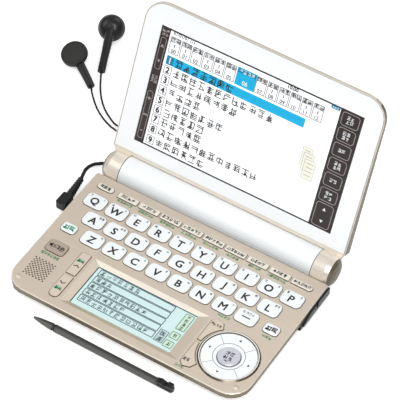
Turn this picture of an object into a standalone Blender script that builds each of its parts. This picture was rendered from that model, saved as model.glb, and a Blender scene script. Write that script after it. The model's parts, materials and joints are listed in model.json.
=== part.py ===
"""Electronic dictionary: a clamshell with a full keyboard, a small lower screen, a large hinged screen,
a loose stylus and plugged-in earphones.

The frame has X to the right, Y to the rear and Z up. The origin is the middle of the flat underside.
Every length is in metres.
"""

import math

import bmesh
import bpy
from mathutils import Matrix, Vector

# Clearances and shared steps
SEAM = 0.0003
KEY_CLEARANCE = 0.0003
OVERRUN = 0.001
CORNER_STEPS = 3
ROUND_STEPS = 32
SMALL_ROUND_STEPS = 12

# The base as a whole
DECK_WIDTH = 0.146
DECK_DEPTH = 0.0905
BASE_HEIGHT = 0.0108
FRONT_CORNER_RADIUS = 0.0122
REAR_CORNER_RADIUS = 0.0012
DECK_CHAMFER = 0.0005
PLATE = 0.0016
SKIRT_HEIGHT = 0.0036
LEFT_WALL = 0.0018
FRONT_WALL = 0.0042
REAR_WALL = 0.0015
GRIP_LEDGE = 0.0080

# The lower shell
FLOOR = 0.0014
SHELL_WALL = 0.0015
SHELL_SETBACK_LEFT = 0.0006
SHELL_SETBACK_FRONT = 0.0032
SHELL_SETBACK_RIGHT = 0.0064
SHELL_BELLY = 0.0022
SHELL_CORNER_RADIUS = 0.0070
POST_RADIUS = 0.0016
POST_INSET = 0.0045

# The hinge
HINGE_RADIUS = 0.0092
HINGE_HEIGHT = 0.0098
KNUCKLE_LENGTH = 0.0121
KNUCKLE_GAP = 0.0004
KNUCKLE_TAPER = ((0.0048, 0.0), (0.0024, 0.0010), (0.0008, 0.0030), (0.0, 0.0062))
ARM_FOOT_INSET = 0.0045
ARM_END_INSET = 0.0006
ARM_REACH = 0.0108
ARM_BACK_SHARE = 0.96
SHAFT_RADIUS = 0.0020
SHAFT_REACH = 0.0072
TONGUE_INSET = 0.0055
TONGUE_REACH = 0.0030
TONGUE_THICKNESS = 0.0049

# The lid, measured along it from the hinge axis and across it from the axis
LID_REACH = 0.1023
LID_OPENING_DEG = 112.95
LID_START = 0.0100
LID_HEEL_START = 0.0065
LID_HEEL_ROUNDING = 0.0010
LID_HEEL_STEP = 0.0001
LID_CORNER_RADIUS = 0.0122
LID_FOOT_RADIUS = 0.0006
LID_CLOSED_GAP = 0.0011
LID_TIP_THICKNESS = 0.0043
LID_ROOT_THICKNESS = 0.0084
LID_BACK_ROUNDING = 0.0020
LID_BACK_SHARES = ((1.0, 0.4, 0.0), (0.3, 0.1, 0.3), (0.0, 0.0, 1.0))
LID_RIM = 0.0005
LID_RIM_DROP = 0.0002
LID_LEDGE = 0.0014
LID_BACK_WALL = 0.0013
BEZEL_THICKNESS = 0.0008
BEZEL_START = 0.0114
SCREEN_MARGIN_SIDE = 0.0112
SCREEN_MARGIN_FOOT = 0.0073
SCREEN_MARGIN_TIP = 0.0118
SCREEN_THICKNESS = 0.0020
SCREEN_LAP = 0.0010

# The letter keys
KEY_SIDE_MARGIN = 0.0050
KEY_GAP_ACROSS = 0.0013
KEY_GAP_ALONG = 0.0022
SMALL_KEY_MARGIN = 0.0055
KEY_RISE = 0.00075
KEY_DEPTH_BELOW = 0.0018
KEY_ROUNDING = 0.0004
KEY_CORNER_RADIUS = 0.0026
KEY_FLOOR_ROOM = 0.0010
LETTER_ROWS = ("qwertyuiop", "asdfghjkl", "zxcvbnm-")
LETTER_ZONE_START = 0.0141
LETTER_ZONE_GAP = 0.00295
ROW_STAGGER_SHARE = 0.495

# The row of small keys behind the letters
TOP_ROW_START = 0.0058
TOP_ROW_DEPTH = 0.0038
POWER_KEY_WIDTH = 0.0101
POWER_KEY_GAP = 0.0032
SHORTCUT_KEYS = 9
SHORTCUT_GAP = 0.0013
SHORTCUT_END_RADIUS = 0.0018
SHORTCUT_CORNER_RADIUS = 0.0003
SHORTCUT_WEB = 0.0006
SHORTCUT_WEB_DROP = 0.0019

# The keys round the lower screen
FRONT_MARGIN = 0.0050
COLUMN_GAP = 0.0020
SIDE_KEY_WIDTH = 0.0088
SIDE_KEY_DEPTH = 0.0064
SIDE_KEY_RADIUS = 0.0018
VOICE_KEY_WIDTH = 0.0117
VOICE_KEY_DEPTH = 0.0083
VOICE_KEY_RADIUS = 0.0020
VOICE_KEY_DROP_SHARE = 0.4431
PAGE_KEY_INSET = 0.0251
PAGE_KEY_WIDTH = 0.0058
PAGE_KEY_SPLIT = 0.0014
PAGE_KEY_RADIUS = 0.0004
PAGE_KEY_END_RADIUS = 0.0026

# The lower screen and its sloping surround
RECESS_DEPTH_SHARE = 0.36906
RECESS_RADIUS = 0.0004
SLOPE_LEFT = 0.0041
SLOPE_RIGHT = 0.0060
SLOPE_REAR = 0.0023
SLOPE_FRONT = 0.0030
SUB_SCREEN_LAP = 0.0028
SUB_SCREEN_THICKNESS = 0.0025

# The direction pad
PAD_EDGE_MARGIN = 0.0028
PAD_END_ROOM = 0.0004
PAD_RIM_WIDTH = 0.00125
PAD_RIM_SLOPE = 0.0008
PAD_RIM_RISE = 0.0008
PAD_RING_RISE = 0.0006
PAD_RING_CLEARANCE = 0.00025
PAD_RING_BELOW = 0.0021
PAD_RING_ROUNDING = 0.0005
PAD_CENTRE_RADIUS = 0.0061
PAD_CENTRE_CLEARANCE = 0.0004
ROCKER_RADIUS = 0.0105
ROCKER_THICKNESS = 0.0010
ROCKER_GAP = 0.0004
ROCKER_POST_RADIUS = 0.0020
ARC_KEY_REACH = 0.0197
ARC_KEY_GAP = 0.0010
ARC_KEY_SPLIT = 0.0018
ARC_KEY_HEEL = 0.0023
ARC_KEY_SPAN_DEG = 49.0
ARC_STEPS = 6

# The speaker grille and the bumpers
GRILLE_INSET = 0.0062
GRILLE_SIZE = 0.0122
GRILLE_FRONT = 0.0104
GRILLE_HOLES = 7
GRILLE_HOLE_RADIUS = 0.00036
GRILLE_HOLE_SIDES = 4
SPEAKER_RADIUS = 0.0068
SPEAKER_THICKNESS = 0.0030
BUMPER_RADIUS = 0.0016
BUMPER_HEIGHT = 0.0008
BUMPER_INSET = 0.0060
BUMPER_FRONT = 0.0065
BUMPER_SIDES = 10

# What the base holds
BATTERY_WIDTH = 0.0520
BATTERY_END_ROOM = 0.0054
BATTERY_THICKNESS = 0.0047
BATTERY_SHIFT = -0.0100
COVER_BORDER = 0.0020
COVER_THICKNESS = 0.0010
BOARD_THICKNESS = 0.0012
BOARD_EDGE_ROOM = 0.0010
BOARD_TOP_DROP = 0.0014
JACK_LENGTH = 0.0125
JACK_HEIGHT = 0.0042
JACK_WIDTH = 0.0078

# The stylus and the black holder at the right
STYLUS_LENGTH = 0.0866
STYLUS_RADIUS = 0.0021
STYLUS_TIP_RADIUS = 0.0006
STYLUS_CONE = 0.0120
STYLUS_GROOVE = 0.0011
STYLUS_GROOVE_DEPTH = 0.0006
STYLUS_HEAD = 0.0105
STYLUS_HOOK_RISE = 0.0011
STYLUS_HOOK_WIDTH = 0.0034
STYLUS_SIDES = 16
STYLUS_DISTANCE = 0.00635
STYLUS_SHIFT = -0.0054
STYLUS_TURN_DEG = -0.3
HOLDER_LENGTH = 0.0275
HOLDER_REAR_ROOM = 0.0004
HOLDER_FOOT_ROOM = 0.0010
HOLDER_WALL = 0.0006
HOLDER_BORE_ROOM = 0.0005
HOLDER_BORE = 2 * STYLUS_RADIUS + HOLDER_BORE_ROOM
HOLDER_STOP = 0.0018
HOLDER_CHEEK = 0.0010
HOLDER_CHEEK_DROP = 0.0006
HOLDER_CHEEK_FOOT = 0.0052
HOLDER_ROUNDING = 0.0010
HOLDER_ROUNDING_SHARE = 0.3
HOLDER_NOTCH_START = 0.0122
HOLDER_NOTCH = 0.0022
HOLDER_NOTCH_DEPTH = 0.0036
HOLDER_NOTCH_SHARES = (0.3, 0.7)
HOLDER_TAPER_START = 0.0200
HOLDER_TAPER_DROP = 0.0014
HOLDER_TAPER_FOOT = 0.0064

# The earphone plug, with its axis across the left side
PLUG_FROM_REAR = 0.0231
PLUG_HEIGHT = 0.0043
PLUG_PIN_RADIUS = 0.00175
PLUG_PIN_LENGTH = 0.0130
PLUG_SHOULDER_RADIUS = 0.0024
PLUG_SHOULDER = 0.0026
PLUG_BODY_WIDTH = 0.0066
PLUG_BODY_DEPTH = 0.0088
PLUG_BODY_HEIGHT = 0.0060
PLUG_BODY_ROUNDING = 0.0012
RELIEF_LENGTH = 0.0150
RELIEF_START_RADIUS = 0.0027
RELIEF_END_RADIUS = 0.0018
RELIEF_RIBS = 7
RELIEF_RIB_DEPTH = 0.0004
RELIEF_TURN_DEG = 6.0
JACK_HOLE_RADIUS = 0.0021

# The earphone cords and buds
LEAD_DIAMETER = 0.0020
LEG_DIAMETER = 0.0011
LEAD_STEP = 0.0050
LEG_STEP = 0.0078
CORD_END_GAP = 0.0003
COIL_CENTRE_X = -0.0330
COIL_CENTRE_Y = 0.0879
COIL_OUTER_RADIUS = 0.0180
COIL_TURNS_PER_LAYER = 5
COIL_PITCH = 0.00250
COIL_LAYER = 0.00250
COIL_START_DEG = 200.0
COIL_STEPS = 24
SPLITTER_LENGTH = 0.0090
SPLITTER_RADIUS = 0.0018
SPLITTER_DROP = 0.0016
LEG_SPREAD = 0.00075
TABLE_ROOM = 0.00015
BUD_RADIUS = 0.0078
BUD_RIM = 0.0026
BUD_DOME = 0.0048
BUD_FACE_RISE = 0.0008
BUD_SIDES = 20
STEM_TOP_RADIUS = 0.0028
STEM_END_RADIUS = 0.0023
STEM_SIDES = 10

# Places that follow from the sizes above
HALF_WIDTH = DECK_WIDTH / 2
REAR_Y = DECK_DEPTH / 2
FRONT_Y = -DECK_DEPTH / 2
PLATE_UNDER = BASE_HEIGHT - PLATE
SKIRT_BOTTOM = BASE_HEIGHT - SKIRT_HEIGHT
SHELL_TOP = SKIRT_BOTTOM - SEAM
SHELL_LEFT = -HALF_WIDTH + SHELL_SETBACK_LEFT
SHELL_RIGHT = HALF_WIDTH - SHELL_SETBACK_RIGHT
SHELL_FRONT = FRONT_Y + SHELL_SETBACK_FRONT
SHELL_REAR = REAR_Y - SEAM
HINGE_Y = REAR_Y + HINGE_RADIUS + SEAM
KEY_PITCH = (DECK_WIDTH - 2 * KEY_SIDE_MARGIN + KEY_GAP_ACROSS) / len(LETTER_ROWS[0])
KEY_WIDTH = KEY_PITCH - KEY_GAP_ACROSS
RECESS_DEPTH = DECK_DEPTH * RECESS_DEPTH_SHARE
RECESS_START = DECK_DEPTH - FRONT_MARGIN - RECESS_DEPTH
ROW_PITCH = (RECESS_START - LETTER_ZONE_START - LETTER_ZONE_GAP) / len(LETTER_ROWS)
KEY_LENGTH = ROW_PITCH - KEY_GAP_ALONG
KEY_BOTTOM = BASE_HEIGHT - KEY_DEPTH_BELOW
HOLE_BOTTOM = KEY_BOTTOM - KEY_FLOOR_ROOM
PAD_RIM_RADIUS = (RECESS_DEPTH - PAD_END_ROOM) / 2
PAD_X = HALF_WIDTH - PAD_EDGE_MARGIN - PAD_RIM_RADIUS
PAD_Y = FRONT_Y + FRONT_MARGIN + PAD_RIM_RADIUS
PAD_HOLE_RADIUS = PAD_RIM_RADIUS - PAD_RIM_WIDTH
PAD_PIVOT = BASE_HEIGHT - PAD_RING_BELOW
ROCKER_TOP = PAD_PIVOT - ROCKER_GAP
ARC_LEFT = PAD_X - ARC_KEY_REACH
PAGE_LEFT = -HALF_WIDTH + PAGE_KEY_INSET
PAGE_RIGHT = PAGE_LEFT + PAGE_KEY_WIDTH
RECESS_LEFT = PAGE_RIGHT + COLUMN_GAP
RECESS_RIGHT = ARC_LEFT - COLUMN_GAP
RECESS_REAR = REAR_Y - RECESS_START
RECESS_FRONT = FRONT_Y + FRONT_MARGIN
WINDOW_LEFT = RECESS_LEFT + SLOPE_LEFT
WINDOW_RIGHT = RECESS_RIGHT - SLOPE_RIGHT
WINDOW_REAR = RECESS_REAR - SLOPE_REAR
WINDOW_FRONT = RECESS_FRONT + SLOPE_FRONT
BOARD_TOP = KEY_BOTTOM - BOARD_TOP_DROP
BOARD_BOTTOM = BOARD_TOP - BOARD_THICKNESS
BOARD_REAR = REAR_Y - TONGUE_REACH - BOARD_EDGE_ROOM
BOARD_FRONT = RECESS_REAR + BOARD_EDGE_ROOM
BOARD_LEFT = SHELL_LEFT + SHELL_WALL + JACK_LENGTH
BOARD_RIGHT = SHELL_RIGHT - SHELL_WALL - BOARD_EDGE_ROOM
BATTERY_DEPTH = RECESS_DEPTH - BATTERY_END_ROOM
BATTERY_Y = (WINDOW_REAR + WINDOW_FRONT) / 2
BARREL_HALF = HALF_WIDTH - KNUCKLE_LENGTH - KNUCKLE_GAP
TONGUE_HALF = BARREL_HALF - TONGUE_INSET
TONGUE_TOP = PLATE_UNDER - SEAM
BEZEL_FACE = BASE_HEIGHT + LID_CLOSED_GAP - HINGE_HEIGHT
PLUG_Y = REAR_Y - PLUG_FROM_REAR
PLUG_INNER_X = -HALF_WIDTH - SEAM - PLUG_SHOULDER
PLUG_OUTER_X = PLUG_INNER_X - PLUG_BODY_WIDTH

# Routes of the earphone cords, chosen by hand. The first point of each meets what it leaves.
LEAD_ROUTE = (
    (-0.0817, 0.0423, 0.0043),
    (-0.0826, 0.0466, 0.0039),
    (-0.0832, 0.0505, 0.0030),
    (-0.0827, 0.0545, 0.0019),
    (-0.0808, 0.0576, 0.00125),
    (-0.0770, 0.0601, 0.00115),
    (-0.0715, 0.0627, 0.00115),
    (-0.0655, 0.0662, 0.00115),
    (-0.0600, 0.0710, 0.00115),
)
LEG_RIGHT_ROUTE = (
    (-0.0118, 0.0839, 0.0021),
    (-0.0070, 0.0784, 0.0012),
    (0.0010, 0.0756, 0.0007),
    (0.0100, 0.0762, 0.0007),
    (0.0185, 0.0806, 0.0007),
    (0.0245, 0.0882, 0.0007),
    (0.0272, 0.0976, 0.0007),
    (0.0262, 0.1076, 0.0007),
    (0.0212, 0.1166, 0.0007),
    (0.0120, 0.1236, 0.0007),
    (0.0000, 0.1269, 0.0007),
    (-0.0130, 0.1269, 0.0007),
    (-0.0265, 0.1249, 0.0007),
    (-0.0395, 0.1204, 0.0007),
    (-0.0515, 0.1119, 0.0007),
    (-0.0620, 0.1012, 0.0007),
    (-0.0710, 0.0929, 0.0007),
    (-0.0795, 0.0882, 0.0007),
    (-0.0882, 0.0874, 0.0007),
    (-0.0945, 0.0901, 0.0007),
    (-0.1009, 0.0943, 0.0007),
    (-0.1066, 0.0997, 0.0008),
    (-0.1120, 0.1066, 0.0014),
    (-0.1176, 0.1160, 0.0027),
)
LEG_LEFT_ROUTE = (
    (-0.0133, 0.0834, 0.0021),
    (-0.0088, 0.0766, 0.0012),
    (0.0005, 0.0724, 0.0007),
    (0.0118, 0.0729, 0.0007),
    (0.0222, 0.0782, 0.0007),
    (0.0294, 0.0869, 0.0007),
    (0.0322, 0.0982, 0.0007),
    (0.0305, 0.1102, 0.0007),
    (0.0243, 0.1206, 0.0007),
    (0.0138, 0.1282, 0.0007),
    (0.0005, 0.1316, 0.0007),
    (-0.0140, 0.1314, 0.0007),
    (-0.0290, 0.1289, 0.0007),
    (-0.0375, 0.1239, 0.0016),
    (-0.0450, 0.1169, 0.0028),
    (-0.0520, 0.1079, 0.0016),
    (-0.0600, 0.0979, 0.0007),
    (-0.0690, 0.0899, 0.0007),
    (-0.0780, 0.0854, 0.0007),
    (-0.0869, 0.0841, 0.0007),
    (-0.0960, 0.0870, 0.0007),
    (-0.1048, 0.0923, 0.0008),
    (-0.1129, 0.0996, 0.0014),
    (-0.1160, 0.1033, 0.0026),
)

# Where the earbuds lie: the middle of the face, the way it looks, and where the cord leaves the stem
LEFT_BUD_MIDDLE = (-0.1362, 0.1157, 0.0075)
LEFT_BUD_FACE = (0.33, -0.57, 0.75)
RIGHT_BUD_MIDDLE = (-0.1304, 0.1465, 0.0054)
RIGHT_BUD_FACE = (-0.30, 0.60, -0.74)


def remove_everything():
    for item in list(bpy.data.objects):
        bpy.data.objects.remove(item, do_unlink=True)


def finish_of(name, colour, roughness, metallic=0.0):
    """A material of one colour for a sub-part."""
    material = bpy.data.materials.get(name)
    if material is None:
        material = bpy.data.materials.new(name)
        material.use_nodes = True
        shader = material.node_tree.nodes["Principled BSDF"]
        shader.inputs["Base Color"].default_value = (*colour, 1.0)
        shader.inputs["Roughness"].default_value = roughness
        shader.inputs["Metallic"].default_value = metallic
        material.diffuse_color = (*colour, 1.0)
    return material


def champagne():
    return finish_of("champagne_plastic", (0.64, 0.57, 0.48), 0.38, 0.25)


def shell_gold():
    return finish_of("shell_gold", (0.46, 0.41, 0.32), 0.40, 0.25)


def key_white():
    return finish_of("key_white", (0.86, 0.89, 0.90), 0.35)


def bezel_white():
    return finish_of("bezel_white", (0.88, 0.91, 0.95), 0.15)


def black_plastic():
    return finish_of("black_plastic", (0.02, 0.02, 0.022), 0.42)


def steel():
    return finish_of("shaft_steel", (0.55, 0.55, 0.56), 0.30, 1.0)


def outline(left, right, front, rear, radii, steps=CORNER_STEPS):
    """A rectangle with its own radius at each corner: front right, rear right, rear left, front left."""
    corners = (
        (right, front, -1, 1, -90.0),
        (right, rear, -1, -1, 0.0),
        (left, rear, 1, -1, 90.0),
        (left, front, 1, 1, 180.0),
    )
    points = []
    for (x, y, inward_x, inward_y, start), radius in zip(corners, radii, strict=True):
        for step in range(steps + 1):
            angle = math.radians(start + 90.0 * step / steps)
            points.append(
                (
                    x + inward_x * radius + radius * math.cos(angle),
                    y + inward_y * radius + radius * math.sin(angle),
                )
            )
    return points


def even_outline(width, depth, radius, steps=CORNER_STEPS):
    """A rounded rectangle about the origin."""
    return outline(-width / 2, width / 2, -depth / 2, depth / 2, (radius,) * 4, steps)


def ring_at(points, height):
    return [(x, y, height) for x, y in points]


def circle_at(radius, height, steps, centre=(0.0, 0.0)):
    turn = 2 * math.pi / steps
    return [
        (centre[0] + radius * math.cos(turn * k), centre[1] + radius * math.sin(turn * k), height)
        for k in range(steps)
    ]


def add_loft(mesh, rings):
    """Skins a stack of equal rings and closes both ends. The rings run anticlockwise, from the lowest up."""
    loops = [[mesh.verts.new(point) for point in ring] for ring in rings]
    count = len(loops[0])
    for lower, upper in zip(loops, loops[1:], strict=False):
        for k in range(count):
            after = (k + 1) % count
            mesh.faces.new((lower[k], lower[after], upper[after], upper[k]))
    mesh.faces.new(list(reversed(loops[0])))
    mesh.faces.new(loops[-1])


def object_from(mesh, name, material, parent=None, smooth_deg=30.0):
    bmesh.ops.recalc_face_normals(mesh, faces=mesh.faces)
    data = bpy.data.meshes.new(name)
    mesh.to_mesh(data)
    mesh.free()
    data.shade_smooth()
    data.set_sharp_from_angle(angle=math.radians(smooth_deg))
    if material is not None:
        data.materials.append(material)
    made = bpy.data.objects.new(name, data)
    bpy.context.scene.collection.objects.link(made)
    made.parent = parent
    return made


def lofted(name, rings, material, parent=None):
    mesh = bmesh.new()
    add_loft(mesh, rings)
    return object_from(mesh, name, material, parent)


def cutter_from(name, bodies):
    """One hidden object that holds every body of a cut."""
    mesh = bmesh.new()
    for rings in bodies:
        add_loft(mesh, rings)
    cutter = object_from(mesh, name, None)
    cutter.hide_render = True
    cutter.display_type = "WIRE"
    return cutter


def combine(target, tool, operation):
    boolean = target.modifiers.new(f"{operation.lower()}_{tool.name}", "BOOLEAN")
    boolean.operation = operation
    boolean.solver = "EXACT"
    boolean.object = tool


def cut_with(target, name, bodies, parent=None):
    cutter = cutter_from(name, bodies)
    cutter.parent = parent
    combine(target, cutter, "DIFFERENCE")


def join_with(target, name, bodies, parent=None):
    adder = cutter_from(name, bodies)
    adder.parent = parent
    combine(target, adder, "UNION")


def box_rings(low, high):
    """A plain box between two corners."""
    corners = ((low[0], low[1]), (high[0], low[1]), (high[0], high[1]), (low[0], high[1]))
    return [ring_at(corners, low[2]), ring_at(corners, high[2])]


def along_x(profile, steps, centre):
    """Rings of a piece turned about a line along X, from (place along X, radius) pairs that run to +X."""
    turn = 2 * math.pi / steps
    return [
        [
            (
                place,
                centre[0] + radius * math.cos(turn * k),
                centre[1] + radius * math.sin(turn * k),
            )
            for k in range(steps)
        ]
        for place, radius in profile
    ]


def turned_at(profile, steps, matrix):
    """Rings of a piece turned about its own Z, from (height, radius) pairs, then placed by a matrix."""
    return [
        [tuple(matrix @ Vector(point)) for point in circle_at(radius, height, steps)]
        for height, radius in profile
    ]


def ring_across(middle, way, radius, steps):
    """A ring across a way that isn't upright; rings made so along one path match point for point."""
    side = way.cross(Vector((0.0, 0.0, 1.0))).normalized()
    up = side.cross(way).normalized()
    turn = 2 * math.pi / steps
    return [
        tuple(middle + side * radius * math.cos(turn * k) + up * radius * math.sin(turn * k))
        for k in range(steps)
    ]


def facing(middle, direction):
    """The place of a piece whose own Z looks along a direction."""
    turn = Vector(direction).normalized().to_track_quat("Z", "Y").to_matrix().to_4x4()
    return Matrix.Translation(Vector(middle)) @ turn


def deck_outline(inset):
    front = FRONT_CORNER_RADIUS - inset
    rear = REAR_CORNER_RADIUS - inset
    return outline(
        -HALF_WIDTH + inset,
        HALF_WIDTH - inset,
        FRONT_Y + inset,
        REAR_Y - inset,
        (front, rear, rear, front),
        steps=CORNER_STEPS + 2,
    )


def letter_places():
    """Name and middle of each letter key."""
    first_x = -HALF_WIDTH + KEY_SIDE_MARGIN + KEY_WIDTH / 2
    for row, letters in enumerate(LETTER_ROWS):
        y = REAR_Y - LETTER_ZONE_START - KEY_LENGTH / 2 - row * ROW_PITCH
        for column, letter in enumerate(letters):
            x = first_x + (column + row * ROW_STAGGER_SHARE) * KEY_PITCH
            name = "dash" if letter == "-" else letter
            yield f"key_{name}", x, y


def last_row_y():
    return REAR_Y - LETTER_ZONE_START - KEY_LENGTH / 2 - (len(LETTER_ROWS) - 1) * ROW_PITCH


def moved_outline(points, distance):
    """An anticlockwise outline with every side moved out by a distance, or in by a negative one."""
    count = len(points)
    moved = []
    for k in range(count):
        before, here, after = (Vector(points[(k + step) % count]) for step in (-1, 0, 1))
        first = (here - before).normalized()
        second = (after - here).normalized()
        out = Vector((first.y + second.y, -first.x - second.x))
        reach = distance * 2 / out.length_squared
        moved.append(tuple(here + out * reach))
    return moved


def arc_key_outline(side):
    """A key beside the pad: a straight left side, a hollow that follows the pad's rim and a rounded tip.

    Side is 1 for the rear key and -1 for the front one. The outline is relative to the pad's middle.
    """
    hollow = PAD_RIM_RADIUS + ARC_KEY_GAP
    split = ARC_KEY_SPLIT / 2
    start = math.asin(split / hollow)
    end = math.radians(ARC_KEY_SPAN_DEG)
    points = []
    for step in range(ARC_STEPS + 1):
        angle = math.pi - (start + (end - start) * step / ARC_STEPS)
        points.append((hollow * math.cos(angle), hollow * math.sin(angle)))
    hollow_x, hollow_y = points[-1]
    tip_x = -ARC_KEY_REACH + ARC_KEY_HEEL
    tip_y = hollow_y + ARC_KEY_HEEL * 2
    points.append(((tip_x + hollow_x + ARC_KEY_HEEL) / 2, (tip_y + hollow_y + ARC_KEY_HEEL) / 2))
    points.append((tip_x, tip_y))
    points.append((-ARC_KEY_REACH, tip_y - ARC_KEY_HEEL))
    points.append((-ARC_KEY_REACH, split))
    if side > 0:
        return points
    return [(x, -y) for x, y in reversed(points)]


def small_keys():
    """Name, middle, outline about it, outline of its hole and material of every key that has a plain shape."""
    grow = 2 * KEY_CLEARANCE
    row_y = REAR_Y - TOP_ROW_START - TOP_ROW_DEPTH / 2
    power_x = -HALF_WIDTH + SMALL_KEY_MARGIN + POWER_KEY_WIDTH / 2
    side_x = HALF_WIDTH - SMALL_KEY_MARGIN - SIDE_KEY_WIDTH / 2
    voice_x = -HALF_WIDTH + SMALL_KEY_MARGIN + VOICE_KEY_WIDTH / 2 + 2 * KEY_CLEARANCE
    page_x = PAGE_LEFT + PAGE_KEY_WIDTH / 2
    page_length = (RECESS_DEPTH - PAGE_KEY_SPLIT) / 2
    page_step = (page_length + PAGE_KEY_SPLIT) / 2
    page_y = (RECESS_REAR + RECESS_FRONT) / 2
    plain = (
        ("power_key", power_x, row_y, POWER_KEY_WIDTH, TOP_ROW_DEPTH, TOP_ROW_DEPTH / 2.1, champagne()),
        ("function_key", -side_x, last_row_y(), SIDE_KEY_WIDTH, SIDE_KEY_DEPTH, SIDE_KEY_RADIUS, key_white()),
        ("back_key", side_x, last_row_y(), SIDE_KEY_WIDTH, SIDE_KEY_DEPTH, SIDE_KEY_RADIUS, key_white()),
        (
            "voice_key",
            voice_x,
            last_row_y() - RECESS_DEPTH * VOICE_KEY_DROP_SHARE,
            VOICE_KEY_WIDTH,
            VOICE_KEY_DEPTH,
            VOICE_KEY_RADIUS,
            champagne(),
        ),
    )
    for name, x, y, width, depth, radius, material in plain:
        shape = even_outline(width, depth, radius)
        hole = even_outline(width + grow, depth + grow, radius + KEY_CLEARANCE)
        inner = even_outline(width - 2 * KEY_ROUNDING, depth - 2 * KEY_ROUNDING, radius - KEY_ROUNDING)
        yield name, x, y, shape, inner, hole, material
    for name, side in (("page_up_key", 1), ("page_down_key", -1)):
        ends = (PAGE_KEY_RADIUS,) * 4 if side > 0 else (
            PAGE_KEY_END_RADIUS,
            PAGE_KEY_RADIUS,
            PAGE_KEY_RADIUS,
            PAGE_KEY_END_RADIUS,
        )
        outlines = []
        for change in (0.0, -KEY_ROUNDING, KEY_CLEARANCE):
            half_x = PAGE_KEY_WIDTH / 2 + change
            half_y = page_length / 2 + change
            radii = tuple(max(radius + change, PAGE_KEY_RADIUS / 4) for radius in ends)
            outlines.append(outline(-half_x, half_x, -half_y, half_y, radii))
        yield name, page_x, page_y + side * page_step, *outlines, champagne()
    for name, side in (("rear_arc_key", 1), ("front_arc_key", -1)):
        shape = arc_key_outline(side)
        inner = moved_outline(shape, -KEY_ROUNDING)
        hole = moved_outline(shape, KEY_CLEARANCE)
        yield name, PAD_X, PAD_Y, shape, inner, hole, champagne()


def key_rings(shape, inner):
    """A key's rings about its own origin, which lies on the deck's surface."""
    return [
        ring_at(shape, -KEY_DEPTH_BELOW),
        ring_at(shape, KEY_RISE - KEY_ROUNDING),
        ring_at(inner, KEY_RISE),
    ]


def hole_rings(hole, x, y):
    moved = [(x + px, y + py) for px, py in hole]
    return [ring_at(moved, HOLE_BOTTOM), ring_at(moved, BASE_HEIGHT + OVERRUN)]


def make_letter_keys():
    shape = even_outline(KEY_WIDTH, KEY_LENGTH, KEY_CORNER_RADIUS)
    inner = even_outline(
        KEY_WIDTH - 2 * KEY_ROUNDING, KEY_LENGTH - 2 * KEY_ROUNDING, KEY_CORNER_RADIUS - KEY_ROUNDING
    )
    shared = None
    for name, x, y in letter_places():
        if shared is None:
            key = lofted(name, key_rings(shape, inner), key_white())
            shared = key.data
        else:
            key = bpy.data.objects.new(name, shared)
            bpy.context.scene.collection.objects.link(key)
        key.location = (x, y, BASE_HEIGHT)


def make_small_keys():
    for name, x, y, shape, inner, _, material in small_keys():
        key = lofted(name, key_rings(shape, inner), material)
        key.location = (x, y, BASE_HEIGHT)


def shortcut_span():
    """The left and right ends of the strip of nine small keys, and the middle of its row."""
    left = -HALF_WIDTH + SMALL_KEY_MARGIN + POWER_KEY_WIDTH + POWER_KEY_GAP
    right = HALF_WIDTH - SMALL_KEY_MARGIN
    return left, right, REAR_Y - TOP_ROW_START - TOP_ROW_DEPTH / 2


def shortcut_radii(is_last):
    end = SHORTCUT_END_RADIUS if is_last else SHORTCUT_CORNER_RADIUS
    return (end, end, SHORTCUT_CORNER_RADIUS, SHORTCUT_CORNER_RADIUS)


def shortcut_shapes(grow):
    """The outline of each small key of the strip, moved out on every side, or in by a negative distance."""
    left, right, _ = shortcut_span()
    pitch = (right - left + SHORTCUT_GAP) / SHORTCUT_KEYS
    half_depth = TOP_ROW_DEPTH / 2 + grow
    for number in range(SHORTCUT_KEYS):
        key_left = left + number * pitch
        key_right = key_left + pitch - SHORTCUT_GAP
        radii = tuple(
            max(radius + grow, SHORTCUT_CORNER_RADIUS / 2)
            for radius in shortcut_radii(number == SHORTCUT_KEYS - 1)
        )
        yield outline(key_left - grow, key_right + grow, -half_depth, half_depth, radii)


def make_shortcut_strip():
    """Nine keys moulded on one thin web that lies under the deck's plate."""
    left, _, y = shortcut_span()
    web_right = HALF_WIDTH - GRIP_LEDGE - SEAM
    half_depth = TOP_ROW_DEPTH / 2 + SEAM
    web = outline(left - SEAM, web_right, -half_depth, half_depth, (SEAM,) * 4)
    web_under = -SHORTCUT_WEB_DROP - SHORTCUT_WEB
    strip = lofted(
        "shortcut_key_strip",
        [ring_at(web, web_under), ring_at(web, -SHORTCUT_WEB_DROP)],
        champagne(),
    )
    strip.location = (0.0, y, BASE_HEIGHT)
    bodies = [
        [
            ring_at(shape, -SHORTCUT_WEB_DROP - SHORTCUT_WEB / 2),
            ring_at(shape, KEY_RISE - KEY_ROUNDING),
            ring_at(inner, KEY_RISE),
        ]
        for shape, inner in zip(shortcut_shapes(0.0), shortcut_shapes(-KEY_ROUNDING), strict=True)
    ]
    join_with(strip, "shortcut_key_caps", bodies, parent=strip)


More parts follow.
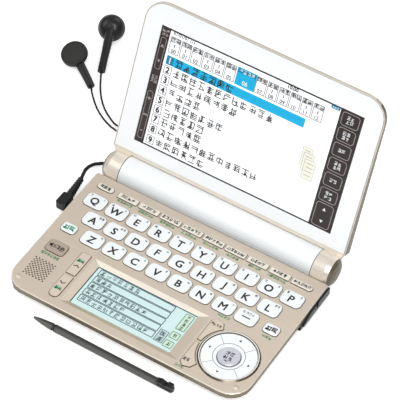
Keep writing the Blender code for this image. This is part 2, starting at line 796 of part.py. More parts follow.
def make_direction_pad():
    """The ring rocks two ways on a hidden plate, round a centre button that slides."""
    outer = PAD_HOLE_RADIUS - PAD_RING_CLEARANCE
    inner = PAD_CENTRE_RADIUS + PAD_CENTRE_CLEARANCE
    top = PAD_RING_BELOW + PAD_RING_RISE
    mesh = bmesh.new()
    profile = (
        (inner, 0.0),
        (outer, 0.0),
        (outer, top - PAD_RING_ROUNDING),
        (outer - PAD_RING_ROUNDING, top),
        (inner + PAD_RING_ROUNDING, top - PAD_RING_ROUNDING),
        (inner, top - 2 * PAD_RING_ROUNDING),
    )
    loops = []
    for radius, height in profile:
        loops.append([mesh.verts.new(point) for point in circle_at(radius, height, ROUND_STEPS)])
    for index, loop in enumerate(loops):
        following = loops[(index + 1) % len(loops)]
        for k in range(ROUND_STEPS):
            after = (k + 1) % ROUND_STEPS
            mesh.faces.new((loop[k], loop[after], following[after], following[k]))
    ring = object_from(mesh, "dpad_ring", bezel_white())
    ring.location = (PAD_X, PAD_Y, PAD_PIVOT)

    rocker = lofted(
        "dpad_rocker",
        [
            circle_at(ROCKER_RADIUS, -ROCKER_GAP - ROCKER_THICKNESS, ROUND_STEPS),
            circle_at(ROCKER_RADIUS, -ROCKER_GAP, ROUND_STEPS),
        ],
        black_plastic(),
    )
    rocker.location = (PAD_X, PAD_Y, PAD_PIVOT)

    centre = lofted(
        "enter_button",
        [
            circle_at(PAD_CENTRE_RADIUS, -KEY_DEPTH_BELOW, ROUND_STEPS),
            circle_at(PAD_CENTRE_RADIUS, PAD_RING_RISE - KEY_ROUNDING, ROUND_STEPS),
            circle_at(PAD_CENTRE_RADIUS - KEY_ROUNDING, PAD_RING_RISE, ROUND_STEPS),
        ],
        finish_of("button_silver", (0.70, 0.70, 0.76), 0.30, 0.4),
    )
    centre.location = (PAD_X, PAD_Y, BASE_HEIGHT)


def recess_rings():
    """The sloping surround of the lower screen, carried on past both faces of the plate at the same slope."""
    sides = (
        (WINDOW_LEFT, RECESS_LEFT),
        (WINDOW_RIGHT, RECESS_RIGHT),
        (WINDOW_FRONT, RECESS_FRONT),
        (WINDOW_REAR, RECESS_REAR),
    )
    rings = []
    for height in (PLATE_UNDER - SEAM, BASE_HEIGHT + SEAM):
        share = (height - PLATE_UNDER) / PLATE
        edges = [window + (recess - window) * share for window, recess in sides]
        rings.append(ring_at(outline(*edges, (RECESS_RADIUS,) * 4, steps=1), height))
    return rings


def grille_bodies():
    """A square grid of holes with a second grid between its rows."""
    left = -HALF_WIDTH + GRILLE_INSET
    front = FRONT_Y + GRILLE_FRONT
    pitch = GRILLE_SIZE / (GRILLE_HOLES - 1)
    for count, offset in ((GRILLE_HOLES, 0.0), (GRILLE_HOLES - 1, pitch / 2)):
        for row in range(count):
            for column in range(count):
                middle = (left + offset + column * pitch, front + offset + row * pitch)
                yield [
                    circle_at(GRILLE_HOLE_RADIUS, height, GRILLE_HOLE_SIDES, middle)
                    for height in (PLATE_UNDER - OVERRUN, BASE_HEIGHT + OVERRUN)
                ]


def make_deck():
    """The upper shell of the base: a plate with a skirt, holes for the keys and the lower screen's recess."""
    deck = lofted(
        "keyboard_deck",
        [
            ring_at(deck_outline(0.0), SKIRT_BOTTOM),
            ring_at(deck_outline(0.0), BASE_HEIGHT - DECK_CHAMFER),
            ring_at(deck_outline(DECK_CHAMFER), BASE_HEIGHT),
        ],
        champagne(),
    )
    bosses = [
        [
            circle_at(PAD_RIM_RADIUS, BASE_HEIGHT - PLATE / 2, ROUND_STEPS, (PAD_X, PAD_Y)),
            circle_at(PAD_RIM_RADIUS, BASE_HEIGHT, ROUND_STEPS, (PAD_X, PAD_Y)),
            circle_at(
                PAD_RIM_RADIUS - PAD_RIM_SLOPE, BASE_HEIGHT + PAD_RIM_RISE, ROUND_STEPS, (PAD_X, PAD_Y)
            ),
        ]
    ]
    for side in (-1, 1):
        middle = (side * (HALF_WIDTH - BUMPER_INSET), FRONT_Y + BUMPER_FRONT)
        bosses.append(
            [
                circle_at(BUMPER_RADIUS, BASE_HEIGHT - PLATE / 2, BUMPER_SIDES, middle),
                circle_at(BUMPER_RADIUS, BASE_HEIGHT, BUMPER_SIDES, middle),
                circle_at(BUMPER_RADIUS * 0.8, BASE_HEIGHT + BUMPER_HEIGHT * 0.6, BUMPER_SIDES, middle),
                circle_at(BUMPER_RADIUS * 0.35, BASE_HEIGHT + BUMPER_HEIGHT, BUMPER_SIDES, middle),
            ]
        )
    join_with(deck, "deck_bosses", bosses)

    room = outline(
        -HALF_WIDTH + LEFT_WALL,
        HALF_WIDTH - GRIP_LEDGE,
        FRONT_Y + FRONT_WALL,
        REAR_Y - REAR_WALL,
        (SHELL_CORNER_RADIUS, REAR_WALL, REAR_WALL, SHELL_CORNER_RADIUS),
    )
    cut_with(deck, "deck_room", [[ring_at(room, SKIRT_BOTTOM - OVERRUN), ring_at(room, PLATE_UNDER)]])

    grow = 2 * KEY_CLEARANCE
    letter_hole = even_outline(KEY_WIDTH + grow, KEY_LENGTH + grow, KEY_CORNER_RADIUS + KEY_CLEARANCE)
    holes = [hole_rings(letter_hole, x, y) for _, x, y in letter_places()]
    holes += [hole_rings(hole, x, y) for _, x, y, _, _, hole, _ in small_keys()]
    _, _, row_y = shortcut_span()
    holes += [hole_rings(shape, 0.0, row_y) for shape in shortcut_shapes(KEY_CLEARANCE)]
    pad_hole = [(x, y) for x, y, _ in circle_at(PAD_HOLE_RADIUS, 0.0, ROUND_STEPS)]
    holes.append(hole_rings(pad_hole, PAD_X, PAD_Y))
    holes.append(recess_rings())
    holes += list(grille_bodies())
    slot_half = TONGUE_HALF + SEAM
    holes.append(
        box_rings(
            (-slot_half, REAR_Y - REAR_WALL - OVERRUN, SKIRT_BOTTOM - OVERRUN),
            (slot_half, REAR_Y + OVERRUN, TONGUE_TOP + SEAM),
        )
    )
    cut_with(deck, "deck_holes", holes)


def shell_outline(inset, rear_inset, radius):
    return outline(
        SHELL_LEFT + inset,
        SHELL_RIGHT - inset,
        SHELL_FRONT + inset,
        SHELL_REAR - rear_inset,
        (radius, REAR_CORNER_RADIUS, REAR_CORNER_RADIUS, radius),
    )


def post_places():
    """Middles of the posts that carry the board."""
    for x in (BOARD_LEFT + POST_INSET, (BOARD_LEFT + BOARD_RIGHT) / 2, BOARD_RIGHT - POST_INSET):
        for y in (BOARD_REAR - POST_INSET, BOARD_FRONT + POST_INSET):
            yield x, y


def cover_corners():
    half_x = BATTERY_WIDTH / 2 + COVER_BORDER
    half_y = BATTERY_DEPTH / 2 + COVER_BORDER
    return BATTERY_SHIFT - half_x, BATTERY_SHIFT + half_x, BATTERY_Y - half_y, BATTERY_Y + half_y


def make_lower_shell():
    """The tray under the deck, with posts for the board, a battery bay and a hole for the plug."""
    tray = lofted(
        "bottom_case",
        [
            ring_at(shell_outline(SHELL_BELLY, SEAM, SHELL_CORNER_RADIUS - SHELL_BELLY), 0.0),
            ring_at(shell_outline(0.0, 0.0, SHELL_CORNER_RADIUS), SHELL_BELLY),
            ring_at(shell_outline(0.0, 0.0, SHELL_CORNER_RADIUS), SHELL_TOP),
        ],
        shell_gold(),
    )
    inside = SHELL_CORNER_RADIUS - SHELL_WALL
    cut_with(
        tray,
        "tray_room",
        [
            [
                ring_at(shell_outline(SHELL_WALL + SHELL_BELLY - FLOOR, SHELL_WALL, inside), FLOOR),
                ring_at(shell_outline(SHELL_WALL, SHELL_WALL, inside), SHELL_BELLY + SEAM),
                ring_at(shell_outline(SHELL_WALL, SHELL_WALL, inside), SHELL_TOP + OVERRUN),
            ]
        ],
    )
    posts = [
        [
            circle_at(POST_RADIUS, FLOOR / 2, SMALL_ROUND_STEPS, place),
            circle_at(POST_RADIUS, BOARD_BOTTOM - SEAM, SMALL_ROUND_STEPS, place),
        ]
        for place in post_places()
    ]
    posts.append(
        [
            circle_at(ROCKER_POST_RADIUS, FLOOR / 2, SMALL_ROUND_STEPS, (PAD_X, PAD_Y)),
            circle_at(
                ROCKER_POST_RADIUS,
                ROCKER_TOP - ROCKER_THICKNESS - SEAM,
                SMALL_ROUND_STEPS,
                (PAD_X, PAD_Y),
            ),
        ]
    )
    join_with(tray, "tray_posts", posts)
    left, right, front, rear = cover_corners()
    slot_half = TONGUE_HALF + SEAM
    cuts = [
        box_rings(
            (left - SEAM, front - SEAM, -OVERRUN),
            (right + SEAM, rear + SEAM, FLOOR + OVERRUN),
        ),
        box_rings(
            (-slot_half, SHELL_REAR - SHELL_WALL - OVERRUN, TONGUE_TOP - TONGUE_THICKNESS - SEAM),
            (slot_half, SHELL_REAR + OVERRUN, SHELL_TOP + OVERRUN),
        ),
        along_x(
            (
                (SHELL_LEFT - OVERRUN, JACK_HOLE_RADIUS),
                (SHELL_LEFT + SHELL_WALL + OVERRUN, JACK_HOLE_RADIUS),
            ),
            SMALL_ROUND_STEPS,
            (PLUG_Y, PLUG_HEIGHT),
        ),
    ]
    cut_with(tray, "tray_cuts", cuts)

    lofted(
        "battery_cover",
        box_rings((left, front, 0.0), (right, rear, COVER_THICKNESS)),
        shell_gold(),
    )
    battery = lofted(
        "battery",
        [
            ring_at(even_outline(BATTERY_WIDTH, BATTERY_DEPTH, COVER_BORDER, steps=2), height)
            for height in (0.0, BATTERY_THICKNESS)
        ],
        finish_of("battery_wrap", (0.05, 0.06, 0.09), 0.5),
    )
    battery.location = (BATTERY_SHIFT, BATTERY_Y, COVER_THICKNESS + SEAM)


def make_board():
    """The circuit board, with the jack that the plug goes into at its left edge."""
    board = lofted(
        "main_board",
        box_rings((BOARD_LEFT, BOARD_FRONT, BOARD_BOTTOM), (BOARD_RIGHT, BOARD_REAR, BOARD_TOP)),
        finish_of("board_green", (0.03, 0.20, 0.09), 0.5),
    )
    jack_left = SHELL_LEFT + SHELL_WALL + 2 * SEAM
    half_width = JACK_WIDTH / 2
    half_height = JACK_HEIGHT / 2
    join_with(
        board,
        "jack_body",
        [
            box_rings(
                (jack_left, PLUG_Y - half_width, PLUG_HEIGHT - half_height),
                (BOARD_LEFT + JACK_WIDTH, PLUG_Y + half_width, PLUG_HEIGHT + half_height),
            )
        ],
    )
    bore_radius = PLUG_PIN_RADIUS + SEAM
    bore_end = -HALF_WIDTH + PLUG_PIN_LENGTH + OVERRUN
    cut_with(
        board,
        "jack_bore",
        [
            along_x(
                ((jack_left - OVERRUN, bore_radius), (bore_end, bore_radius)),
                SMALL_ROUND_STEPS,
                (PLUG_Y, PLUG_HEIGHT),
            )
        ],
    )


def make_speaker():
    middle = GRILLE_SIZE / 2
    speaker = lofted(
        "speaker",
        [
            circle_at(SPEAKER_RADIUS * 0.7, -SPEAKER_THICKNESS, ROUND_STEPS),
            circle_at(SPEAKER_RADIUS, -SPEAKER_THICKNESS / 2, ROUND_STEPS),
            circle_at(SPEAKER_RADIUS, 0.0, ROUND_STEPS),
        ],
        black_plastic(),
    )
    speaker.location = (
        -HALF_WIDTH + GRILLE_INSET + middle,
        FRONT_Y + GRILLE_FRONT + middle,
        PLATE_UNDER - SEAM,
    )


def make_sub_screen():
    top = PLATE_UNDER - 2 * SEAM
    lofted(
        "sub_screen",
        box_rings(
            (
                WINDOW_LEFT - SUB_SCREEN_LAP,
                WINDOW_FRONT - SUB_SCREEN_LAP,
                top - SUB_SCREEN_THICKNESS,
            ),
            (WINDOW_RIGHT + SUB_SCREEN_LAP, WINDOW_REAR + SUB_SCREEN_LAP, top),
        ),
        finish_of("lcd_pale", (0.70, 0.82, 0.82), 0.2),
    )


def make_barrel():
    """The white barrel between the lid's knuckles, with a flat tongue that goes into the base."""
    centre = (HINGE_Y, HINGE_HEIGHT)
    barrel = lofted(
        "hinge_barrel",
        along_x(((-BARREL_HALF, HINGE_RADIUS), (BARREL_HALF, HINGE_RADIUS)), ROUND_STEPS + 8, centre),
        bezel_white(),
    )
    join_with(
        barrel,
        "barrel_tongue",
        [
            box_rings(
                (-TONGUE_HALF, REAR_Y - TONGUE_REACH, TONGUE_TOP - TONGUE_THICKNESS),
                (TONGUE_HALF, HINGE_Y, TONGUE_TOP),
            )
        ],
    )
    bore = SHAFT_RADIUS + SEAM
    cut_with(
        barrel,
        "barrel_bore",
        [
            along_x(
                ((-BARREL_HALF - OVERRUN, bore), (BARREL_HALF + OVERRUN, bore)),
                SMALL_ROUND_STEPS,
                centre,
            )
        ],
    )
    shaft_half = BARREL_HALF + SHAFT_REACH
    lofted(
        "hinge_shaft",
        along_x(((-shaft_half, SHAFT_RADIUS), (shaft_half, SHAFT_RADIUS)), SMALL_ROUND_STEPS, centre),
        steel(),
    )


def lid_outline(inset, foot_inset):
    tip = LID_CORNER_RADIUS - inset
    foot = max(LID_FOOT_RADIUS - inset / 2, LID_FOOT_RADIUS / 3)
    return outline(
        -HALF_WIDTH + inset,
        HALF_WIDTH - inset,
        LID_START + foot_inset,
        LID_REACH - inset,
        (foot, tip, tip, foot),
        steps=CORNER_STEPS + 2,
    )


def lid_back(along):
    """Depth of the lid's back below the hinge axis, which lies nearer at the tip."""
    share = (along - LID_START) / (LID_REACH - LID_START)
    return -BEZEL_FACE - LID_ROOT_THICKNESS + (LID_ROOT_THICKNESS - LID_TIP_THICKNESS) * share


def lid_ring(inset, foot_inset, rise):
    """A ring that keeps its distance from the lid's sloping back."""
    return [(x, y, lid_back(y) + rise) for x, y in lid_outline(inset, foot_inset)]


def make_lid(hinge):
    """The lid in its own frame: X to the right, Y along it from the hinge axis, Z out of the screen."""
    rim_top = -BEZEL_FACE - LID_RIM_DROP
    ledge = -BEZEL_FACE - BEZEL_THICKNESS - SEAM
    shell = lofted(
        "lid_shell",
        [
            *[
                lid_ring(*[LID_BACK_ROUNDING * share for share in shares])
                for shares in LID_BACK_SHARES
            ],
            ring_at(lid_outline(0.0, 0.0), rim_top),
        ],
        shell_gold(),
        hinge,
    )
    knuckle_start = HALF_WIDTH - KNUCKLE_LENGTH
    heel_end = LID_START + LID_BACK_ROUNDING
    heel_side = (
        (heel_end, rim_top - LID_RIM_DROP),
        (LID_HEEL_START, rim_top - LID_RIM_DROP),
        (LID_HEEL_START, lid_back(LID_HEEL_START) + LID_HEEL_ROUNDING),
        (LID_HEEL_START + LID_HEEL_ROUNDING, lid_back(LID_HEEL_START) + LID_HEEL_STEP),
        (heel_end, lid_back(heel_end) + LID_HEEL_STEP),
    )
    heel_half = knuckle_start + OVERRUN
    heel = [[(x, y, z) for y, z in heel_side] for x in (-heel_half, heel_half)]
    join_with(shell, "lid_heel", [heel], parent=hinge)
    barrel_room = HINGE_RADIUS + SEAM
    cut_with(
        shell,
        "lid_barrel_room",
        [
            along_x(
                ((-knuckle_start, barrel_room), (knuckle_start, barrel_room)),
                ROUND_STEPS + 8,
                (0.0, 0.0),
            )
        ],
        parent=hinge,
    )
    knuckles = []
    arms = []
    for side in (-1, 1):
        profile = [(side * knuckle_start, HINGE_RADIUS)]
        profile += [(side * (HALF_WIDTH - inset), HINGE_RADIUS - drop) for inset, drop in KNUCKLE_TAPER]
        foot_corner = side * (HALF_WIDTH - ARM_FOOT_INSET)
        end_corner = side * (HALF_WIDTH - ARM_END_INSET)
        arm = [
            (side * knuckle_start, SHAFT_RADIUS),
            (foot_corner, SHAFT_RADIUS),
            (end_corner, ARM_REACH),
            (side * knuckle_start, ARM_REACH),
        ]
        if side < 0:
            profile.reverse()
            arm.reverse()
        knuckles.append(along_x(profile, ROUND_STEPS + 8, (0.0, 0.0)))
        arms.append(
            [ring_at(arm, -HINGE_RADIUS * ARM_BACK_SHARE), ring_at(arm, rim_top - LID_RIM_DROP)]
        )
    join_with(shell, "lid_knuckles", knuckles, parent=hinge)
    join_with(shell, "lid_arms", arms, parent=hinge)

    foot = BEZEL_START - LID_START
    cut_with(
        shell,
        "lid_seat",
        [
            [
                ring_at(lid_outline(LID_RIM, foot - SEAM), ledge),
                ring_at(lid_outline(LID_RIM, foot - SEAM), rim_top + OVERRUN),
            ]
        ],
        parent=hinge,
    )
    cavity = LID_RIM + LID_LEDGE
    cut_with(
        shell,
        "lid_room",
        [
            [
                lid_ring(cavity, foot + LID_LEDGE, LID_BACK_WALL),
                ring_at(lid_outline(cavity, foot + LID_LEDGE), ledge + OVERRUN),
            ]
        ],
        parent=hinge,
    )
    bore = SHAFT_RADIUS + SEAM
    bores = []
    for side in (-1, 1):
        ends = sorted(
            (side * (BARREL_HALF - OVERRUN), side * (BARREL_HALF + SHAFT_REACH + SEAM))
        )
        bores.append(along_x([(end, bore) for end in ends], SMALL_ROUND_STEPS, (0.0, 0.0)))
    cut_with(shell, "lid_bores", bores, parent=hinge)

    bezel_inset = LID_RIM + SEAM
    bezel = lofted(
        "lid_bezel",
        [
            ring_at(lid_outline(bezel_inset, foot), -BEZEL_FACE - BEZEL_THICKNESS),
            ring_at(lid_outline(bezel_inset, foot), -BEZEL_FACE),
        ],
        bezel_white(),
        hinge,
    )
    window = (
        -HALF_WIDTH + SCREEN_MARGIN_SIDE,
        HALF_WIDTH - SCREEN_MARGIN_SIDE,
        BEZEL_START + SCREEN_MARGIN_FOOT,
        LID_REACH - bezel_inset - SCREEN_MARGIN_TIP,
    )
    cut_with(
        bezel,
        "bezel_window",
        [
            box_rings(
                (window[0], window[2], -BEZEL_FACE - BEZEL_THICKNESS - OVERRUN),
                (window[1], window[3], -BEZEL_FACE + OVERRUN),
            )
        ],
        parent=hinge,
    )
    screen_top = -BEZEL_FACE - BEZEL_THICKNESS - SEAM
    lofted(
        "main_screen",
        box_rings(
            (window[0] - SCREEN_LAP, window[2] - SCREEN_LAP, screen_top - SCREEN_THICKNESS),
            (window[1] + SCREEN_LAP, window[3] + SCREEN_LAP, screen_top),
        ),
        finish_of("screen_white", (0.90, 0.91, 0.92), 0.12),
        hinge,
    )


def make_stylus():
    """A slim pen that lies in front of the base, its axis nearly along the front edge."""
    half = STYLUS_LENGTH / 2
    groove = -half + STYLUS_CONE + STYLUS_GROOVE
    profile = (
        (-half, STYLUS_TIP_RADIUS),
        (-half + STYLUS_GROOVE, STYLUS_TIP_RADIUS * 1.4),
        (-half + STYLUS_CONE * 0.45, STYLUS_RADIUS * 0.72),
        (-half + STYLUS_CONE, STYLUS_RADIUS * 0.98),
        (-half + STYLUS_CONE, STYLUS_RADIUS - STYLUS_GROOVE_DEPTH),
        (groove, STYLUS_RADIUS - STYLUS_GROOVE_DEPTH),
        (groove, STYLUS_RADIUS),
        (half - STYLUS_GROOVE, STYLUS_RADIUS),
        (half, STYLUS_RADIUS * 0.7),
    )
    holder = bpy.data.objects.new("stylus_axis", None)
    bpy.context.scene.collection.objects.link(holder)
    holder.location = (
        STYLUS_SHIFT,
        FRONT_Y - STYLUS_DISTANCE,
        STYLUS_RADIUS,
    )
    holder.rotation_euler.z = math.radians(STYLUS_TURN_DEG)
    pen = lofted(
        "stylus",
        along_x(profile, STYLUS_SIDES, (0.0, 0.0)),
        finish_of("stylus_grey", (0.11, 0.11, 0.11), 0.45),
        holder,
    )
    start = half - STYLUS_HEAD
    hook_half = STYLUS_HOOK_WIDTH / 2
    top = STYLUS_RADIUS + STYLUS_HOOK_RISE
    hook = [
        [
            (start, hook_side, 0.0),
            (half - STYLUS_GROOVE / 2, hook_side, 0.0),
            (half - STYLUS_GROOVE / 2, hook_side, top),
            (half - STYLUS_GROOVE * 3, hook_side, top),
            (half - STYLUS_HEAD * 0.45, hook_side, STYLUS_RADIUS * 0.8),
            (start + STYLUS_HEAD * 0.3, hook_side, top - STYLUS_HOOK_RISE * 0.3),
            (start, hook_side, STYLUS_RADIUS * 0.8),
        ]
        for hook_side in (hook_half, -hook_half)
    ]
    join_with(pen, "stylus_hook", [hook], parent=holder)


def make_stylus_holder():
    """The black sleeve under the deck's right edge, open to the front, with a cheek beside the deck."""
    rear = REAR_Y - HOLDER_REAR_ROOM
    front = rear - HOLDER_LENGTH
    inner = SHELL_RIGHT + SEAM
    outer = inner + 2 * HOLDER_WALL + HOLDER_BORE
    low = HOLDER_FOOT_ROOM
    high = SKIRT_BOTTOM - SEAM
    near = HOLDER_ROUNDING * HOLDER_ROUNDING_SHARE
    sleeve = (
        (inner, low),
        (outer - HOLDER_ROUNDING, low),
        (outer - near, low + near),
        (outer, low + HOLDER_ROUNDING),
        (outer, high),
        (inner, high),
    )
    holder = lofted(
        "stylus_holder",
        [[(x, y, z) for x, z in sleeve] for y in (rear, front)],
        black_plastic(),
    )
    cheek_right = HALF_WIDTH + SEAM + HOLDER_CHEEK
    cheek_top = BASE_HEIGHT - HOLDER_CHEEK_DROP
    notch = rear - HOLDER_NOTCH_START
    taper = rear - HOLDER_TAPER_START
    side = [
        (front + SEAM, HOLDER_CHEEK_FOOT),
        (rear - SEAM, HOLDER_CHEEK_FOOT),
        (rear - SEAM, cheek_top),
        (notch, cheek_top),
        *[(notch - HOLDER_NOTCH * share, cheek_top - HOLDER_NOTCH_DEPTH) for share in HOLDER_NOTCH_SHARES],
        (notch - HOLDER_NOTCH, cheek_top),
        (taper, cheek_top - HOLDER_TAPER_DROP / 2),
        (front + SEAM, HOLDER_TAPER_FOOT),
    ]
    cheek = [[(x, y, z) for y, z in side] for x in (outer - HOLDER_WALL / 2, cheek_right)]
    join_with(holder, "holder_cheek", [cheek])
    middle_x = inner + HOLDER_WALL + HOLDER_BORE / 2
    middle_z = (low + high) / 2
    half = HOLDER_BORE / 2
    cut_with(
        holder,
        "holder_bore",
        [
            box_rings(
                (middle_x - half, front - OVERRUN, middle_z - half),
                (middle_x + half, rear - HOLDER_STOP, middle_z + half),
            )
        ],
    )
    deck_side = box_rings(
        (inner - OVERRUN, front - OVERRUN, high),
        (HALF_WIDTH + SEAM, REAR_Y + OVERRUN, BASE_HEIGHT + OVERRUN),
    )
    cut_with(holder, "holder_deck_room", [deck_side])


def relief_start():
    """Where the strain relief leaves the plug's body, and the way it runs."""
    middle_x = (PLUG_INNER_X + PLUG_OUTER_X) / 2
    turn = math.radians(RELIEF_TURN_DEG)
    way = Vector((-math.sin(turn), math.cos(turn), 0.0))
    return Vector((middle_x, PLUG_Y + PLUG_BODY_DEPTH / 2 - PLUG_BODY_ROUNDING, PLUG_HEIGHT)), way


def make_plug():
    """An angled plug: a pin across the base's side, a block outside it and a ribbed relief to the rear."""
    half_height = PLUG_BODY_HEIGHT / 2
    front = PLUG_Y - PLUG_BODY_DEPTH / 2
    rear = PLUG_Y + PLUG_BODY_DEPTH / 2
    rounding = PLUG_BODY_ROUNDING
    body = outline(PLUG_OUTER_X, PLUG_INNER_X, front, rear, (rounding,) * 4)
    tight = outline(
        PLUG_OUTER_X + rounding / 2,
        PLUG_INNER_X - rounding / 2,
        front + rounding / 2,
        rear - rounding / 2,
        (rounding / 2,) * 4,
    )
    plug = lofted(
        "earphone_plug",
        [
            ring_at(tight, PLUG_HEIGHT - half_height),
            ring_at(body, PLUG_HEIGHT - half_height + rounding / 2),
            ring_at(body, PLUG_HEIGHT + half_height - rounding / 2),
            ring_at(tight, PLUG_HEIGHT + half_height),
        ],
        black_plastic(),
    )
    shoulder_end = PLUG_INNER_X + PLUG_SHOULDER
    pin_end = -HALF_WIDTH + PLUG_PIN_LENGTH
    pin = (
        (PLUG_INNER_X - rounding, PLUG_SHOULDER_RADIUS),
        (shoulder_end, PLUG_SHOULDER_RADIUS),
        (shoulder_end, PLUG_PIN_RADIUS),
        (pin_end - PLUG_PIN_RADIUS, PLUG_PIN_RADIUS),
        (pin_end, PLUG_PIN_RADIUS / 2),
    )
    join_with(plug, "plug_pin", [along_x(pin, SMALL_ROUND_STEPS, (PLUG_Y, PLUG_HEIGHT))])
    start, way = relief_start()
    profile = [(0.0, RELIEF_START_RADIUS)]
    rib = RELIEF_LENGTH / (RELIEF_RIBS + 1)
    for number in range(1, RELIEF_RIBS + 1):
        share = number / (RELIEF_RIBS + 1)
        radius = RELIEF_START_RADIUS + (RELIEF_END_RADIUS - RELIEF_START_RADIUS) * share
        profile.append((rib * (number - 0.15), radius))
        profile.append((rib * (number + 0.15), radius - RELIEF_RIB_DEPTH))
        profile.append((rib * (number + 0.4), radius - RELIEF_RIB_DEPTH))
    profile.append((RELIEF_LENGTH - rib / 4, RELIEF_END_RADIUS))
    profile.append((RELIEF_LENGTH, RELIEF_END_RADIUS))
    join_with(plug, "plug_relief", [turned_at(profile, SMALL_ROUND_STEPS, facing(start, way))])


def smooth_route(points, step):
    """Evenly spaced points on one smooth curve through a route's own points."""
    knots = [Vector(point) for point in points]
    knots = [2 * knots[0] - knots[1], *knots, 2 * knots[-1] - knots[-2]]
    fine = [knots[1]]
    for before, start, end, after in zip(knots, knots[1:], knots[2:], knots[3:], strict=False):
        for number in range(1, ROUND_STEPS + 1):
            t = number / ROUND_STEPS
            fine.append(
                0.5
                * (
                    2 * start
                    + (end - before) * t
                    + (2 * before - 5 * start + 4 * end - after) * t * t
                    + (3 * start - before - 3 * end + after) * t * t * t
                )
            )
    lengths = [(b - a).length for a, b in zip(fine, fine[1:], strict=False)]
    total = sum(lengths)
    count = max(2, round(total / step))
    spaced = [fine[0]]
    walked = 0.0
    index = 0
    for number in range(1, count):
        target = total * number / count
        while walked + lengths[index] < target:
            walked += lengths[index]
            index += 1
        share = (target - walked) / lengths[index]
        spaced.append(fine[index].lerp(fine[index + 1], share))
    spaced.append(fine[-1])
    return spaced, total


def tube(name, points, diameter, resolution, material):
    """A closed round tube along points."""
    curve = bpy.data.curves.new(name, "CURVE")
    curve.dimensions = "3D"
    curve.bevel_depth = diameter / 2
    curve.bevel_resolution = resolution
    curve.use_fill_caps = True
    spline = curve.splines.new("POLY")
    spline.points.add(len(points) - 1)
    for place, point in zip(spline.points, points, strict=True):
        place.co = (*point, 1.0)
    curve.materials.append(material)
    made = bpy.data.objects.new(name, curve)
    bpy.context.scene.collection.objects.link(made)
    return made


def coil_points(steps_per_turn):
    """The lead's coil: it spirals in on the table, climbs a layer in half a turn and spirals out on top."""
    low = LEAD_DIAMETER / 2 + TABLE_ROOM
    inward = COIL_TURNS_PER_LAYER * steps_per_turn
    half_turn = steps_per_turn // 2
    points = []
    for number in range(2 * inward + half_turn + 1):
        if number <= inward:
            radius = COIL_OUTER_RADIUS - COIL_PITCH * number / steps_per_turn
            rise = 0.0
        elif number <= inward + half_turn:
            into = number - inward
            turned = min(into, half_turn - into) / steps_per_turn
            radius = COIL_OUTER_RADIUS - COIL_PITCH * (COIL_TURNS_PER_LAYER + turned)
            share = into / half_turn
            rise = share * share * (3 - 2 * share)
        else:
            back = (number - inward - half_turn) / steps_per_turn
            radius = COIL_OUTER_RADIUS - COIL_PITCH * (COIL_TURNS_PER_LAYER - back)
            rise = 1.0
        angle = math.radians(COIL_START_DEG) - 2 * math.pi * number / steps_per_turn
        points.append(
            Vector(
                (
                    COIL_CENTRE_X + radius * math.cos(angle),
                    COIL_CENTRE_Y + radius * math.sin(angle),
                    low + COIL_LAYER * rise,
                )
            )
        )
    first_way = (points[0] - points[1]).normalized()
    last_way = (points[-1] - points[-2]).normalized()
    points.insert(0, points[0] + first_way * LEAD_DIAMETER)
    points.append(points[-1] + last_way * LEAD_DIAMETER)
    return points


def least_gap(points, diameter):
    """The least distance between the surfaces of a tube's own turns."""
    places = [0.0]
    for a, b in zip(points, points[1:], strict=False):
        places.append(places[-1] + (b - a).length)
    least = None
    for i, a in enumerate(points):
        for j in range(i + 1, len(points)):
            if places[j] - places[i] > 4 * diameter:
                gap = (points[j] - a).length - diameter
                least = gap if least is None else min(least, gap)
    return least


def make_cords():
    black = black_plastic()
    coil = coil_points(COIL_STEPS)
    fine = coil_points(COIL_STEPS * 3)
    gap = least_gap(fine, LEAD_DIAMETER)
    coil_length = sum((b - a).length for a, b in zip(fine, fine[1:], strict=False))
    print(f"earphone coil: least gap {gap * 1000:.2f} mm, length {coil_length:.3f} m")
    tube("earphone_coil", coil, LEAD_DIAMETER, 1, black)
    route = list(LEAD_ROUTE)
    meet = coil[0] + (coil[0] - coil[1]).normalized() * CORD_END_GAP
    before = coil[0] + (coil[0] - coil[1]).normalized() * (CORD_END_GAP + 2 * LEAD_DIAMETER)
    start, way = relief_start()
    relief_end = start + way * (RELIEF_LENGTH + CORD_END_GAP)
    route[0] = tuple(relief_end)
    lead, lead_length = smooth_route([*route, tuple(before), tuple(meet)], LEAD_STEP)
    print(f"earphone lead to the coil: {lead_length:.3f} m")
    tube("earphone_lead", lead, LEAD_DIAMETER, 2, black)
    legs = {}
    splitter_start, splitter_end = splitter_ends(coil)
    way = (splitter_end - splitter_start).normalized()
    aside = Vector((-way.y, way.x, 0.0)).normalized() * LEG_SPREAD
    for side, leg_route, start in (
        ("left", LEG_LEFT_ROUTE, splitter_end - aside + way * CORD_END_GAP),
        ("right", LEG_RIGHT_ROUTE, splitter_end + aside - way * LEG_DIAMETER),
    ):
        leg, leg_length = smooth_route([tuple(start), *leg_route[1:]], LEG_STEP)
        print(f"earphone leg {side}: {leg_length:.3f} m")
        legs[side] = tube(f"earphone_leg_{side}", leg, LEG_DIAMETER, 2, black)
    add_splitter(legs["right"], splitter_start, splitter_end)


def splitter_ends(coil):
    """Where the sleeve begins and ends that splits the cord in two, past the coil's end."""
    way = (coil[-1] - coil[-2]).normalized()
    start = coil[-1] + way * CORD_END_GAP
    return start, start + way * SPLITTER_LENGTH - Vector((0.0, 0.0, SPLITTER_DROP))


